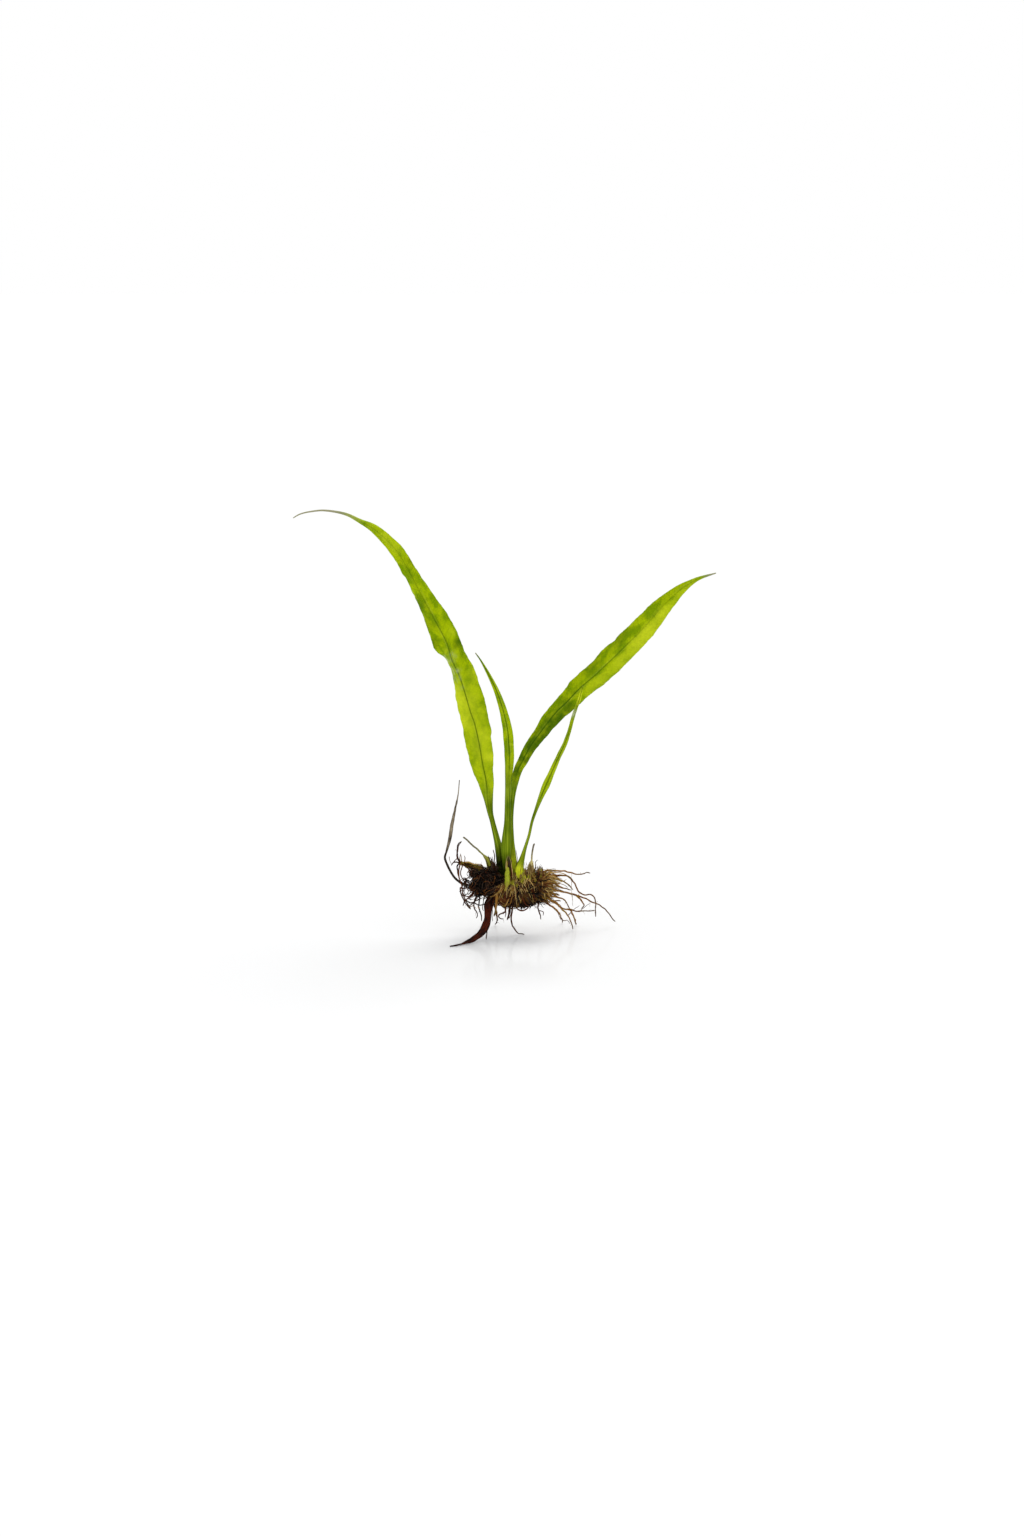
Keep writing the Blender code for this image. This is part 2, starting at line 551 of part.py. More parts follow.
def make_mat(clearance):
    """Black mat of old, matted roots, pressed in where it meets the rhizome"""
    bm = bmesh.new()
    bmesh.ops.create_icosphere(bm, subdivisions=3, radius=1)
    for vert in bm.verts:
        vert.co = mat_skin(vert.co.normalized()) * MM
        nearest, normal = clearance.find_nearest(vert.co)[:2]
        if (vert.co - nearest).dot(normal) < 0:
            vert.co = nearest + normal * GAP * MM
    return add_shape("root_mat", bm, "mat")


def main():
    """Build every piece of the plant"""
    clear_scene()
    add_shape("rhizome", loft_shape(rhizome_rings()), "rhizome")
    clearance = rhizome_clearance()
    for name, (rows, stalk, rib, finish) in LEAVES.items():
        make_leaf(name, rows, stalk, rib, finish, clearance)
    foot = (*above_mat(*WITHERED_FOOT, FOOT_GAP), *LEAF_WITHERED[0][3:])
    make_leaf("leaf_withered", [foot] + LEAF_WITHERED, *WITHERED_THICKNESS, "withered", None)
    for name, rows in STALKS.items():
        make_stalk(name, rows, clearance)
    make_mat(clearance)
    for name, (place, angle, points) in RHIZOME_ROOTS.items():
        make_root(name, [above_rhizome(place, angle, lift) for lift in (GAP, 4 * GAP)] + points)
    for name, (azimuth, elevation, points) in MAT_ROOTS.items():
        make_root(name, [above_mat(azimuth, elevation, lift) for lift in (GAP, 4 * GAP)] + points)
    for name, points in FORKED_ROOTS.items():
        make_root(name, points, width=0.8 * ROOT_WIDTH)


main()
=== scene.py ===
"""Looks of a java fern: leaves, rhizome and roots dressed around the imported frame.

Lengths are in millimetres and become metres where a mesh is made. X runs to the right,
Y to the back and Z up. Every piece is a closed skin, and each skin carries numbers, such
as the distance along a leaf, which its finish reads as attributes.
"""
import logging
import math
import random
from bisect import bisect_left
from collections.abc import Callable, Sequence
from dataclasses import dataclass, field
from enum import Enum

import bmesh
import bpy
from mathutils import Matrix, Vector, noise


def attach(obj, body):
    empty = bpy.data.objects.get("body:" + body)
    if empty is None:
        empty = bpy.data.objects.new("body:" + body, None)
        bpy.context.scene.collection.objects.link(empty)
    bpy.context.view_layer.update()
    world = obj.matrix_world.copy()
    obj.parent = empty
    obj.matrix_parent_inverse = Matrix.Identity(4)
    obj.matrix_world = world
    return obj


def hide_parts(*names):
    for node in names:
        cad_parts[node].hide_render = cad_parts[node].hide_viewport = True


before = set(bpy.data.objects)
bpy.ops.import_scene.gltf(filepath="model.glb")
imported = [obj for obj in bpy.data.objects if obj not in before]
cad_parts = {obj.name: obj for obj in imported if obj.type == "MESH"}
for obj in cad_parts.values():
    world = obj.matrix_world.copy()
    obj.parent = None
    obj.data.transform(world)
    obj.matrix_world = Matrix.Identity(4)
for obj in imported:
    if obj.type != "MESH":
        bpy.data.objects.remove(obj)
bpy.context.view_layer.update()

MM = 0.001
NOISE_SEED = 2
log = logging.getLogger("java_fern")

# Without a seed of its own, noise_vector changes with the clock
noise.seed_set(NOISE_SEED)

Row = tuple[float, ...]
Span = tuple[float, float]
Colour = tuple[int, int, int]
FineRoot = tuple[float, float, float, list[Row]]
Piece = bpy.types.Object
Material = bpy.types.Material
Socket = bpy.types.NodeSocket

# Side veins of a leaf, which are both grooves of its mesh and lines of its finish
VEIN_SPACING = 2.3
VEIN_SLOPE = 0.85


class Slot(Enum):
    """Material slots of the record."""

    LEAF = "leaf"
    WITHERED = "withered_leaf"
    DEAD = "dead_leaf"
    STALK = "old_stalk"
    RHIZOME = "rhizome"
    ROOT = "root"
    MAT = "root_mat"


# Helpers


def clamped(number: float) -> float:
    """Number kept from 0 to 1."""
    return min(max(number, 0.0), 1.0)


def bell(distance: float, width: float) -> float:
    """Height of a bell that is 1 in its middle, at a distance from there."""
    return math.exp(-(distance / width) ** 2)


def random_way(rng: random.Random, spread: float = 1.0) -> Vector:
    """Vector whose three parts are drawn around 0."""
    return Vector([rng.gauss(0, spread) for _ in range(3)])


def patches_at(point: Vector, patches: list[Row], total: float = 0.0) -> float:
    """Summed strength of round patches at a point, seen from the front.

    Args:
        point: the point.
        patches: x, z, radius and strength of each patch.
        total: what the sum starts from.

    Returns:
        The sum.
    """
    for x, z, radius, strength in patches:
        away = ((point.x - x) ** 2 + (point.z - z) ** 2) / radius ** 2
        total += strength * math.exp(-away)
    return total


def add_object(name: str, data: bpy.types.ID) -> bpy.types.Object:
    """New object of the scene.

    Args:
        name: its name.
        data: its mesh, camera or light.

    Returns:
        The object.
    """
    made = bpy.data.objects.new(name, data)
    bpy.context.scene.collection.objects.link(made)
    return made


# Shader graphs


def linear(colour: Colour) -> Row:
    """Linear colour of a screen colour from 0 to 255."""
    return (*((part / 255) ** 2.2 for part in colour), 1.0)


@dataclass(frozen=True)
class Coat:
    """How a surface takes the light: least roughness and its swing, gloss, bumps in mm."""

    rough: float
    swing: float
    gloss: float
    depth: float
    strength: float


class Value:
    """Number in a shader: Python's operators on it add Math nodes."""

    def __init__(self, graph: "ShaderGraph", socket: Socket) -> None:
        """Wrap an output socket of a graph."""
        self.graph = graph
        self.socket = socket

    def math(self, operation: str, *numbers: "Value | float") -> "Value":
        """Result of a Math node.

        Args:
            operation: the node's operation.
            numbers: its inputs in order.

        Returns:
            The node's result.
        """
        made = self.graph.node("ShaderNodeMath", {"operation": operation},
                               dict(zip(("Value", "Value_001"), numbers)))
        return self.graph.value(made, "Value")

    def __add__(self, other: "Value | float") -> "Value":
        """Sum."""
        return self.math("ADD", self, other)

    def __radd__(self, other: float) -> "Value":
        """Sum with a number first."""
        return self.math("ADD", other, self)

    def __sub__(self, other: "Value | float") -> "Value":
        """Difference."""
        return self.math("SUBTRACT", self, other)

    def __rsub__(self, other: float) -> "Value":
        """Difference with a number first."""
        return self.math("SUBTRACT", other, self)

    def __mul__(self, other: "Value | float") -> "Value":
        """Product."""
        return self.math("MULTIPLY", self, other)

    def __rmul__(self, other: float) -> "Value":
        """Product with a number first."""
        return self.math("MULTIPLY", other, self)

    def __truediv__(self, other: "Value | float") -> "Value":
        """Quotient."""
        return self.math("DIVIDE", self, other)

    def __abs__(self) -> "Value":
        """Size without its sign."""
        return self.math("ABSOLUTE", self)

    def fraction(self) -> "Value":
        """Part after the decimal point."""
        return self.math("FRACT", self)

    def rise(self, low: float, high: float) -> "Value":
        """Smooth step: 0 below low and 1 above high, or the other way round if low is higher.

        Args:
            low: where the step starts.
            high: where it ends.

        Returns:
            The step's value.
        """
        made = self.graph.node(
            "ShaderNodeMapRange", {"interpolation_type": "SMOOTHSTEP"},
            {"Value": self, "From Min": min(low, high), "From Max": max(low, high),
             "To Min": float(low > high), "To Max": float(high >= low)})
        return self.graph.value(made, "Result")


class ShaderGraph:
    """Node tree of one material, built up from expressions."""

    FINE, MIDDLE, COARSE = 4.0, 3.0, 2.0

    def __init__(self, name: str) -> None:
        """Start a material with an empty tree.

        Args:
            name: name of the material.
        """
        self.material = bpy.data.materials.new(name)
        self.material.use_nodes = True
        self.tree = self.material.node_tree
        self.tree.nodes.clear()

    def node(self, kind: str, settings: dict[str, object],
             sockets: dict[str, object]) -> bpy.types.Node:
        """Add a node.

        Args:
            kind: type of the node.
            settings: its own settings, which are set first.
            sockets: what goes into its inputs, by identifier: numbers, colours or links.

        Returns:
            The node.
        """
        made = self.tree.nodes.new(kind)
        for name, setting in settings.items():
            setattr(made, name, setting)
        inputs = {socket.identifier: socket for socket in made.inputs}
        for name, content in sockets.items():
            if isinstance(content, Value):
                content = content.socket
            if isinstance(content, Socket):
                self.tree.links.new(content, inputs[name])
            else:
                inputs[name].default_value = content
        return made

    def output(self, node: bpy.types.Node, name: str) -> Socket:
        """Output socket of a node, by identifier."""
        return next(socket for socket in node.outputs if socket.identifier == name)

    def value(self, node: bpy.types.Node, name: str) -> Value:
        """Number that comes out of a node."""
        return Value(self, self.output(node, name))

    def attribute(self, name: str) -> Value:
        """Number that the mesh carries under that name."""
        return self.value(self.node("ShaderNodeAttribute", {"attribute_name": name}, {}), "Fac")

    def place(self) -> Socket:
        """Place on the object, in millimetres.

        Returns:
            The place.
        """
        where = self.output(self.node("ShaderNodeTexCoord", {}, {}), "Object")
        scaled = self.node("ShaderNodeVectorMath", {"operation": "SCALE"},
                           {"Vector": where, "Scale": 1 / MM})
        return self.output(scaled, "Vector")

    def axes(self, where: Socket) -> list[Value]:
        """X, Y and Z of a place."""
        split = self.node("ShaderNodeSeparateXYZ", {}, {"Vector": where})
        return [self.value(split, axis) for axis in "XYZ"]

    def vector(self, x: Value | float, y: Value | float, z: Value | float) -> Socket:
        """Vector of three numbers."""
        made = self.node("ShaderNodeCombineXYZ", {}, {"X": x, "Y": y, "Z": z})
        return self.output(made, "Vector")

    def noise(self, where: Socket, length: float, detail: float = MIDDLE) -> Value:
        """Noise from 0 to 1.

        Args:
            where: the place that it is read at.
            length: distance over which it changes.
            detail: number of finer layers.

        Returns:
            The noise.
        """
        made = self.node("ShaderNodeTexNoise", {},
                         {"Vector": where, "Scale": 1 / length, "Detail": detail})
        return self.value(made, "Fac")

    def cells(self, where: Socket, length: float) -> Value:
        """Distance to the border between cells.

        Args:
            where: the place that it is read at.
            length: size of a cell.

        Returns:
            The distance, as a share of a cell.
        """
        made = self.node("ShaderNodeTexVoronoi", {"feature": "DISTANCE_TO_EDGE"},
                         {"Vector": where, "Scale": 1 / length})
        return self.value(made, "Distance")

    def layers(self, colour: Colour | Socket, *layers: tuple[Value, Colour | Socket]) -> Socket:
        """Colour with others laid over it.

        Args:
            colour: screen colour or link at the bottom.
            layers: share and colour of each layer, from the lowest to the highest.

        Returns:
            The colour.
        """
        for share, over in layers:
            first, second = (linear(c) if isinstance(c, tuple) else c for c in (colour, over))
            made = self.node("ShaderNodeMix", {"data_type": "RGBA", "clamp_factor": True},
                             {"Factor_Float": share, "A_Color": first, "B_Color": second})
            colour = self.output(made, "Result_Color")
        return colour

    def surface(self, coat: Coat, colour: Socket, grain: Value, height: Value,
                through: Colour | None = None, thin: Value | float = 0.0) -> Material:
        """Finish the material with its surface.

        Args:
            coat: how it takes the light.
            colour: base colour.
            grain: what its roughness swings with.
            height: height of its bumps, from 0 to 1.
            through: colour of the light that comes through a leaf, if any does.
            thin: share of that light.

        Returns:
            The material.
        """
        bumps = self.node("ShaderNodeBump", {},
                          {"Height": height, "Distance": coat.depth * MM,
                           "Strength": coat.strength})
        normal = self.output(bumps, "Normal")
        shader = self.node("ShaderNodeBsdfPrincipled", {},
                           {"Base Color": colour, "Roughness": coat.rough + grain * coat.swing,
                            "Normal": normal, "Specular IOR Level": coat.gloss,
                            "Metallic": 0.0})
        out = self.output(shader, "BSDF")
        if through:
            glow = self.node("ShaderNodeBsdfTranslucent", {},
                             {"Color": linear(through), "Normal": normal})
            both = self.node("ShaderNodeMixShader", {},
                             {"Fac": thin, "Shader": out, "Shader_001": self.output(glow, "BSDF")})
            out = self.output(both, "Shader")
        self.node("ShaderNodeOutputMaterial", {}, {"Surface": out})
        return self.material


# Finishes: a span is where a mask starts and where it is full, in mm or as a share


@dataclass(frozen=True)
class LeafFinish:
    """Living leaf: green with darker veins, yellow and dark patches and a dry tip.

    The patches are partly painted light and shade, and the finish also paints highlights beside
    the rib and along a fold, and shade in the rib's groove, along the margins and along the
    stalks' sides and feet.
    """

    name: str = "living_leaf"
    fresh: Colour = (186, 204, 14)
    deep: Colour = (114, 148, 0)
    yellow: Colour = (220, 228, 46)
    dark: Colour = (60, 92, 0)
    vein: Colour = (100, 122, 4)
    # The rib's own darker colour, also painted shade in its groove
    rib: Colour = (62, 94, 0)
    # Painted highlight beside the rib
    rib_highlight: Colour = (186, 198, 84)
    # Painted shade along the blade's margin
    margin: Colour = (128, 146, 26)
    # Painted highlight along the left leaf's fold, also a greyish mark at the small leaf's turned
    # edge
    pale_mark: Colour = (206, 212, 172)
    dry: Colour = (156, 152, 124)
    stalk: Colour = (142, 162, 40)
    # Darker green of the stalk, also painted shade along its sides
    stalk_dark: Colour = (74, 98, 2)
    foot: Colour = (104, 78, 16)
    # Near-black towards a stalk's foot, partly painted shade where the feet crowd together
    base: Colour = (15, 20, 4)
    through: Colour = (196, 214, 16)
    coat: Coat = Coat(rough=0.42, swing=0.22, gloss=0.035, depth=0.12, strength=0.5)
    patch: float = 3.2
    grain: float = 0.9
    streak: float = 1.4
    net: float = 0.8
    net_line: Span = (0.11, 0.02)
    vein_line: Span = (0.36, 0.5)
    rib_edge: Span = (0.4, 0.16)
    beside_from: Span = (0.2, 0.42)
    beside_to: Span = (1.0, 0.5)
    rib_fades: Span = (65.0, 115.0)
    foot_fades: Span = (15.0, 6.0)
    thinness: float = 0.36

    def make(self) -> Material:
        """Material of this finish.

        Returns:
            The material.
        """
        graph = ShaderGraph(self.name)
        along, across, edge, tone, dry, stalk, base, pale_mark = map(
            graph.attribute, ("along", "across", "edge", "tone", "dry", "stalk", "base", "pale_mark"))
        sheet = graph.vector(across, along, 0.0)
        broad = graph.noise(graph.vector(across, along * 0.55, 0.0), self.patch)
        small = graph.noise(sheet, self.grain, graph.FINE)
        lengthwise = graph.noise(graph.vector(across * 3.4, along * 0.09, 3.0), self.streak)
        side, blade = abs(across), 1 - stalk
        phase = (along - side * VEIN_SLOPE) / VEIN_SPACING + broad * 0.9
        lateral = abs(phase.fraction() - 0.5).rise(*self.vein_line) * blade * small.rise(0.35, 0.6)
        net = graph.cells(sheet, self.net).rise(*self.net_line) * blade
        on_rib = (side + small * 0.12).rise(*self.rib_edge)
        beside_rib = side.rise(*self.beside_from) * side.rise(*self.beside_to) * blade
        rib = on_rib * blade * (1 - along.rise(*self.rib_fades) * 0.55)
        mottle = broad.rise(0.36, 0.62) * 0.8 + small.rise(0.3, 0.7) * 0.2
        old = along.rise(*self.foot_fades) * (lengthwise + small * 0.2).rise(0.58, 0.74)
        # Dark tones are partly painted shade, and the yellow of lit tones partly painted light
        dark = (0 - tone).rise(0.05, 1.0)
        lit = tone.rise(0.0, 0.9) * (0.5 + small * 0.8)
        lit = lit * (1 - stalk * lengthwise.rise(0.42, 0.66) * 0.65) * (1 - rib * 0.8)
        stem = graph.layers(
            self.stalk_dark,
            (lengthwise.rise(0.38, 0.62), self.stalk),
            (old * 0.75, self.foot),
            (broad.rise(0.44, 0.62) * 0.6, self.stalk_dark))
        colour = graph.layers(
            self.deep,
            (mottle, self.fresh),
            (lateral * 0.4 + net * 0.16, self.vein),
            # Painted highlight beside the rib, then the rib's line, partly painted groove shade
            (beside_rib * lengthwise.rise(0.45, 0.66) * 0.3, self.rib_highlight),
            (rib * (0.6 + lengthwise * 0.6), self.rib),
            # Painted shade along the blade's margin
            (edge.rise(0.93, 1.0) * 0.45 * blade, self.margin),
            (stalk * 0.9, stem),
            (lit, self.yellow),
            (dark * (0.55 + small * 0.6), self.dark),
            # Painted shade along the stalks' sides, which draws a dark line where two stalks meet
            (edge.rise(0.55, 1.0) * stalk * 0.6, self.stalk_dark),
            # Painted highlight along the left leaf's fold, and the small leaf's greyish mark
            (pale_mark * lengthwise.rise(0.35, 0.6), self.pale_mark),
            (dry * (0.75 + small * 0.4), self.dry),
            # Near-black towards a stalk's foot, partly painted shade where the feet crowd together
            (base * (0.7 + small * 0.5), self.base))
        height = small * 0.35 + lengthwise * 0.25 - lateral * 0.4 - net * 0.25
        thin = (1 - on_rib * 0.6) * (1 - stalk * 0.8) * (1 - base) * (1 - dry * 0.6)
        thin = thin * self.thinness * (1 - dark * 0.9)
        return graph.surface(self.coat, colour, small, height, self.through, thin)


@dataclass(frozen=True)
class DeadLeafFinish:
    """Dead leaf: two browns in streaks along it, darker along its margins and its tip."""

    name: str
    light: Colour
    brown: Colour
    dark: Colour
    coat: Coat
    streak: float = 0.35
    patch: float = 2.0
    grain: float = 0.25
    dark_foot: float = 0.0
    foot_fade: float = 6.0

    def make(self) -> Material:
        """Material of this finish.

        Returns:
            The material.
        """
        graph = ShaderGraph(self.name)
        along, across, edge, dry = map(graph.attribute, ("along", "across", "edge", "dry"))
        streaks = graph.noise(graph.vector(across, along * 0.22, 0.0), self.streak, graph.FINE)
        broad = graph.noise(graph.vector(across, along * 0.6, 7.0), self.patch)
        grain = graph.noise(graph.place(), self.grain, graph.FINE)
        layers = [
            (streaks.rise(0.3, 0.7), self.light),
            (broad.rise(0.42, 0.66) * 0.85, self.dark),
            (edge.rise(0.55, 1.0) * 0.7, self.dark),
            (dry * 0.85, self.dark)]
        if self.dark_foot:
            foot = (along + broad * 4.0).rise(self.dark_foot + self.foot_fade, self.dark_foot)
            layers.append((foot * 0.95, self.dark))
        colour = graph.layers(self.brown, *layers)
        return graph.surface(self.coat, colour, grain, streaks * 0.7 + grain * 0.3)


@dataclass(frozen=True)
class RootFinish:
    """Roots and fibres: from straw through golden brown to dark brown, darker at the tips."""

    name: str = "root_skin"
    straw: Colour = (208, 178, 112)
    golden: Colour = (146, 104, 50)
    brown: Colour = (84, 42, 22)
    dark: Colour = (12, 8, 6)
    olive: Colour = (136, 116, 38)
    tip: Colour = (74, 60, 50)
    coat: Coat = Coat(rough=0.6, swing=0.25, gloss=0.08, depth=0.12, strength=0.8)
    sort: float = 2.6
    patch: float = 0.9
    grain: float = 0.16

    def make(self) -> Material:
        """Material of this finish.

        Returns:
            The material.
        """
        graph = ShaderGraph(self.name)
        place, hue, tip = graph.place(), graph.attribute("hue"), graph.attribute("tip")
        grain = graph.noise(place, self.grain, graph.FINE)
        patch = graph.noise(place, self.patch)
        sort = graph.noise(place, self.sort, graph.COARSE).rise(0.5, 0.64)
        shade = hue + (patch - 0.5) * 0.5
        colour = graph.layers(
            self.golden,
            (sort * 0.7, self.olive),
            (shade.rise(0.66, 1.0), self.straw),
            (shade.rise(0.55, 0.3), self.brown),
            (shade.rise(0.28, 0.05), self.dark),
            (tip.rise(0.45, 1.0) * 0.8, self.tip),
            (grain.rise(0.54, 0.76) * 0.5, self.dark))
        return graph.surface(self.coat, colour, grain, grain * 0.6 + patch * 0.4)


@dataclass(frozen=True)
class RhizomeFinish:
    """Skin of the rhizome: red-brown, olive and golden zones, with painted shade in its hollows.

    A border says how far a zone's border strays, and the x where it starts and ends.
    """

    name: str = "rhizome_skin"
    red: Colour = (104, 56, 26)
    olive: Colour = (80, 54, 22)
    golden: Colour = (112, 76, 28)
    purple: Colour = (28, 13, 12)
    green: Colour = (106, 98, 24)
    # Painted shade in the skin's hollows, also the dark flecks of its grain
    pit_shade_and_fleck: Colour = (10, 6, 4)
    straw: Colour = (128, 98, 54)
    coat: Coat = Coat(rough=0.55, swing=0.3, gloss=0.1, depth=0.3, strength=0.9)
    left_border: Row = (6.0, 4.0, -2.0)
    right_border: Row = (9.0, 8.0, 14.0)
    old_border: Row = (3.0, -4.5, -7.5)
    patch: float = 3.2
    grain: float = 0.3
    fibre: float = 0.35

    def make(self) -> Material:
        """Material of this finish.

        Returns:
            The material.
        """
        graph = ShaderGraph(self.name)
        place, relief = graph.place(), graph.attribute("relief")
        x, y, z = graph.axes(place)
        broad = graph.noise(place, self.patch)
        grain = graph.noise(place, self.grain, graph.FINE)
        fibres = graph.noise(graph.vector(x * 0.25, y, z), self.fibre)
        left, right, old = (
            (x + (broad - 0.5) * stray).rise(start, end)
            for stray, start, end in (self.left_border, self.right_border, self.old_border))
        colour = graph.layers(
            self.olive,
            (left, self.red),
            (right, self.golden),
            (old, self.green),
            (broad.rise(0.54, 0.66) * (1 - old), self.purple),
            (fibres.rise(0.56, 0.74) * 0.6, self.straw),
            # Painted shade in the hollows of the skin's relief
            (relief.rise(0.1, -0.55) * 0.9, self.pit_shade_and_fleck),
            # Dark flecks of the skin's own grain
            (grain.rise(0.55, 0.8) * 0.5, self.pit_shade_and_fleck))
        return graph.surface(self.coat, colour, grain, grain * 0.5 + fibres * 0.5)


@dataclass(frozen=True)
class StalkFinish:
    """Old stalk or green shoot: fresh at its foot, dry towards its end, with streaks."""

    name: str
    fresh: Colour
    streak: Colour
    dry: Colour
    dry_from: float = 0.3
    dry_span: float = 0.45
    grain: float = 0.35
    streak_width: float = 0.4
    coat: Coat = Coat(rough=0.45, swing=0.25, gloss=0.25, depth=0.15, strength=0.7)

    def make(self) -> Material:
        """Material of this finish.

        Returns:
            The material.
        """
        graph = ShaderGraph(self.name)
        place, tip, hue = graph.place(), graph.attribute("tip"), graph.attribute("hue")
        x, y, z = graph.axes(place)
        grain = graph.noise(place, self.grain, graph.FINE)
        streaks = graph.noise(graph.vector(x, y, z * 0.2), self.streak_width)
        end = (tip + (grain - 0.5) * 0.7).rise(self.dry_from, self.dry_from + self.dry_span)
        colour = graph.layers(
            self.fresh,
            (streaks.rise(0.48, 0.68) * 0.8, self.streak),
            ((hue + streaks * 0.4).rise(0.75, 1.2) * 0.8, self.dry),
            (end, self.dry))
        return graph.surface(self.coat, colour, grain, streaks * 0.6 + grain * 0.4)


# Shapes


class Path:
    """Smooth curve through rows of numbers, the first three of which are x, y and z."""

    CUTS = 8
    NEAR = 0.02

    def __init__(self, rows: Sequence[Sequence[float]]) -> None:
        """Keep the rows and measure how far along the curve each one is.

        Args:
            rows: the rows.
        """
        self.rows = [tuple(float(number) for number in row) for row in rows]
        self.last = len(self.rows) - 1
        self.reached = [0.0]
        for index in range(self.last):
            cuts = [self.point(index + part / self.CUTS) for part in range(self.CUTS + 1)]
            length = sum((b - a).length for a, b in zip(cuts, cuts[1:]))
            self.reached.append(self.reached[-1] + length)
        self.length = self.reached[-1]

    def row(self, place: float) -> list[float]:
        """Row between the given ones.

        Args:
            place: where it is, counted in rows.

        Returns:
            The row.
        """
        index = min(int(place), self.last - 1)
        part = place - index
        near = [self.rows[min(max(k, 0), self.last)] for k in range(index - 1, index + 3)]
        return [
            0.5 * (2 * b + (c - a) * part + (2 * a - 5 * b + 4 * c - d) * part ** 2
                   + (3 * b - a - 3 * c + d) * part ** 3)
            for a, b, c, d in zip(*near)
        ]

    def point(self, place: float) -> Vector:
        """Point at a place."""
        return Vector(self.row(place)[:3])

    def direction(self, place: float) -> Vector:
        """Way that the curve runs at a place."""
        start = self.point(max(place - self.NEAR, 0))
        return (self.point(min(place + self.NEAR, self.last)) - start).normalized()

    def place_at(self, distance: float) -> float:
        """Place that is a distance along the curve.

        Args:
            distance: the distance from its start.

        Returns:
            The place.
        """
        index = min(bisect_left(self.reached, distance, 1), self.last) - 1
        span = self.reached[index + 1] - self.reached[index]
        return index + clamped((distance - self.reached[index]) / span)


@dataclass
class Ring:
    """Points around one place of a tube, with the numbers that each point carries."""

    points: list[Vector]
    numbers: dict[str, list[float]] = field(default_factory=dict)


class Skin:
    """Mesh in the making, built of closed tubes."""

    SEAM = 1e-7
    STRAY_SCALE = 0.55
    STRAY_FROM = Vector((3.1, 7.7, 1.3))
    STRAY_STARTS = 4
    LUMP_SCALE = 1.9
    END_WIDTH = 0.35
    END_GROWTH = 0.4
    STEEP = 0.8

    def __init__(self, *layers: str) -> None:
        """Start an empty mesh that carries numbers of those names."""
        self.bm = bmesh.new()
        self.layers = {layer: self.bm.verts.layers.float.new(layer) for layer in layers}

    def tube(self, rings: list[Ring]) -> None:
        """Add a tube through rings of points, drawn together at both ends.

        Args:
            rings: the rings from one end to the other, all of as many points.
        """
        count, sides = len(rings), len(rings[0].points)
        made = bmesh.ops.create_grid(self.bm, x_segments=count + 1, y_segments=sides, size=1)
        middles = [sum(ring.points, Vector()) / sides for ring in rings]
        for vert in made["verts"]:
            step = round((vert.co.x + 1) / 2 * (count + 1))
            turn = round((vert.co.y + 1) / 2 * sides) % sides
            index = min(max(step - 1, 0), count - 1)
            is_pole = step in (0, count + 1)
            vert.co = (middles[index] if is_pole else rings[index].points[turn]) * MM
            for layer, numbers in rings[index].numbers.items():
                vert[self.layers[layer]] = numbers[turn]

    def strand(self, points: Sequence[Sequence[float]], width: Span, sides: int = 6,
               step: float = 0.8, flat: float = 1.0, wander: float = 0.0,
               thin_way: Vector | None = None, swell: Callable[[float], float] | None = None,
               lumps: float = 0.22, **numbers: float) -> None:
        """Add a root, fibre or flake along a curve.

        Args:
            points: rows of the curve.
            width: width at the start and at the tip.
            sides: number of sides.
            step: distance between rings.
            flat: thickness as a share of the width.
            wander: how far the curve strays, at most.
            thin_way: direction in which a flat strand is thin.
            swell: width factor at a share of the length.
            lumps: share by which its width varies.
            numbers: numbers that the strand carries; tip is added to them.
        """
        path = Path(points)
        count = max(round(path.length / step), 3)
        is_steep = abs(path.direction(0).z) >= self.STEEP
        normal = thin_way or Vector((1, 0, 0) if is_steep else (0, 0, 1))
        rings = []
        for index in range(count + 1):
            share = index / count
            place = path.place_at(share * path.length)
            along = path.direction(place)
            normal = (normal - along * normal.dot(along)).normalized()
            side = along.cross(normal)
            middle = path.point(place)
            stray = noise.noise_vector(middle * self.STRAY_SCALE + self.STRAY_FROM)
            middle = middle + stray * wander * min(self.STRAY_STARTS * share, 1.0)
            size = (width[0] + (width[1] - width[0]) * share) / 2
            size *= 1 + lumps * noise.noise(middle * self.LUMP_SCALE)
            size *= swell(share) if swell else 1.0
            size *= min(self.END_WIDTH + self.END_GROWTH * (count - index), 1.0)
            turns = [math.tau * k / sides for k in range(sides)]
            ring = [middle + side * (math.cos(t) * size) + normal * (math.sin(t) * size * flat)
                    for t in turns]
            carried = {**numbers, "tip": share}
            rings.append(Ring(ring, {name: [one] * sides for name, one in carried.items()}))
        self.tube(rings)

    def piece(self, name: str, finish: Material, slot: Slot, *nodes: str) -> Piece:
        """Finish the mesh as a piece of the plant.

        Args:
            name: name of the piece.
            finish: its material.
            slot: its material slot, which is not used.
            nodes: the frame's nodes that it stands for.

        Returns:
            The piece, which rides on the plant's body.
        """
        bmesh.ops.remove_doubles(self.bm, verts=self.bm.verts[:], dist=self.SEAM)
        bmesh.ops.recalc_face_normals(self.bm, faces=self.bm.faces[:])
        mesh = bpy.data.meshes.new(name)
        self.bm.to_mesh(mesh)
        self.bm.free()
        mesh.shade_smooth()
        mesh.materials.append(finish)
        made = add_object(name, mesh)
        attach(made, "root")
        if nodes:
            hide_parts(*nodes)
        log.info("%s: %d faces", name, len(mesh.polygons))
        return made


# Leaves


@dataclass
class Spot:
    """One point across a leaf.

    It is travelled mm from the foot, which is that share of the leaf's length. Side is -1
    left of the rib and 1 right of it, and front 1 on the front and -1 on the back. Away is
    the distance from the rib as a share of the half blade's width, and offset in mm. Blade
    is 0 on the stalk and 1 on the blade.
    """

    travelled: float
    share: float
    side: int
    front: int
    away: float
    offset: float
    blade: float


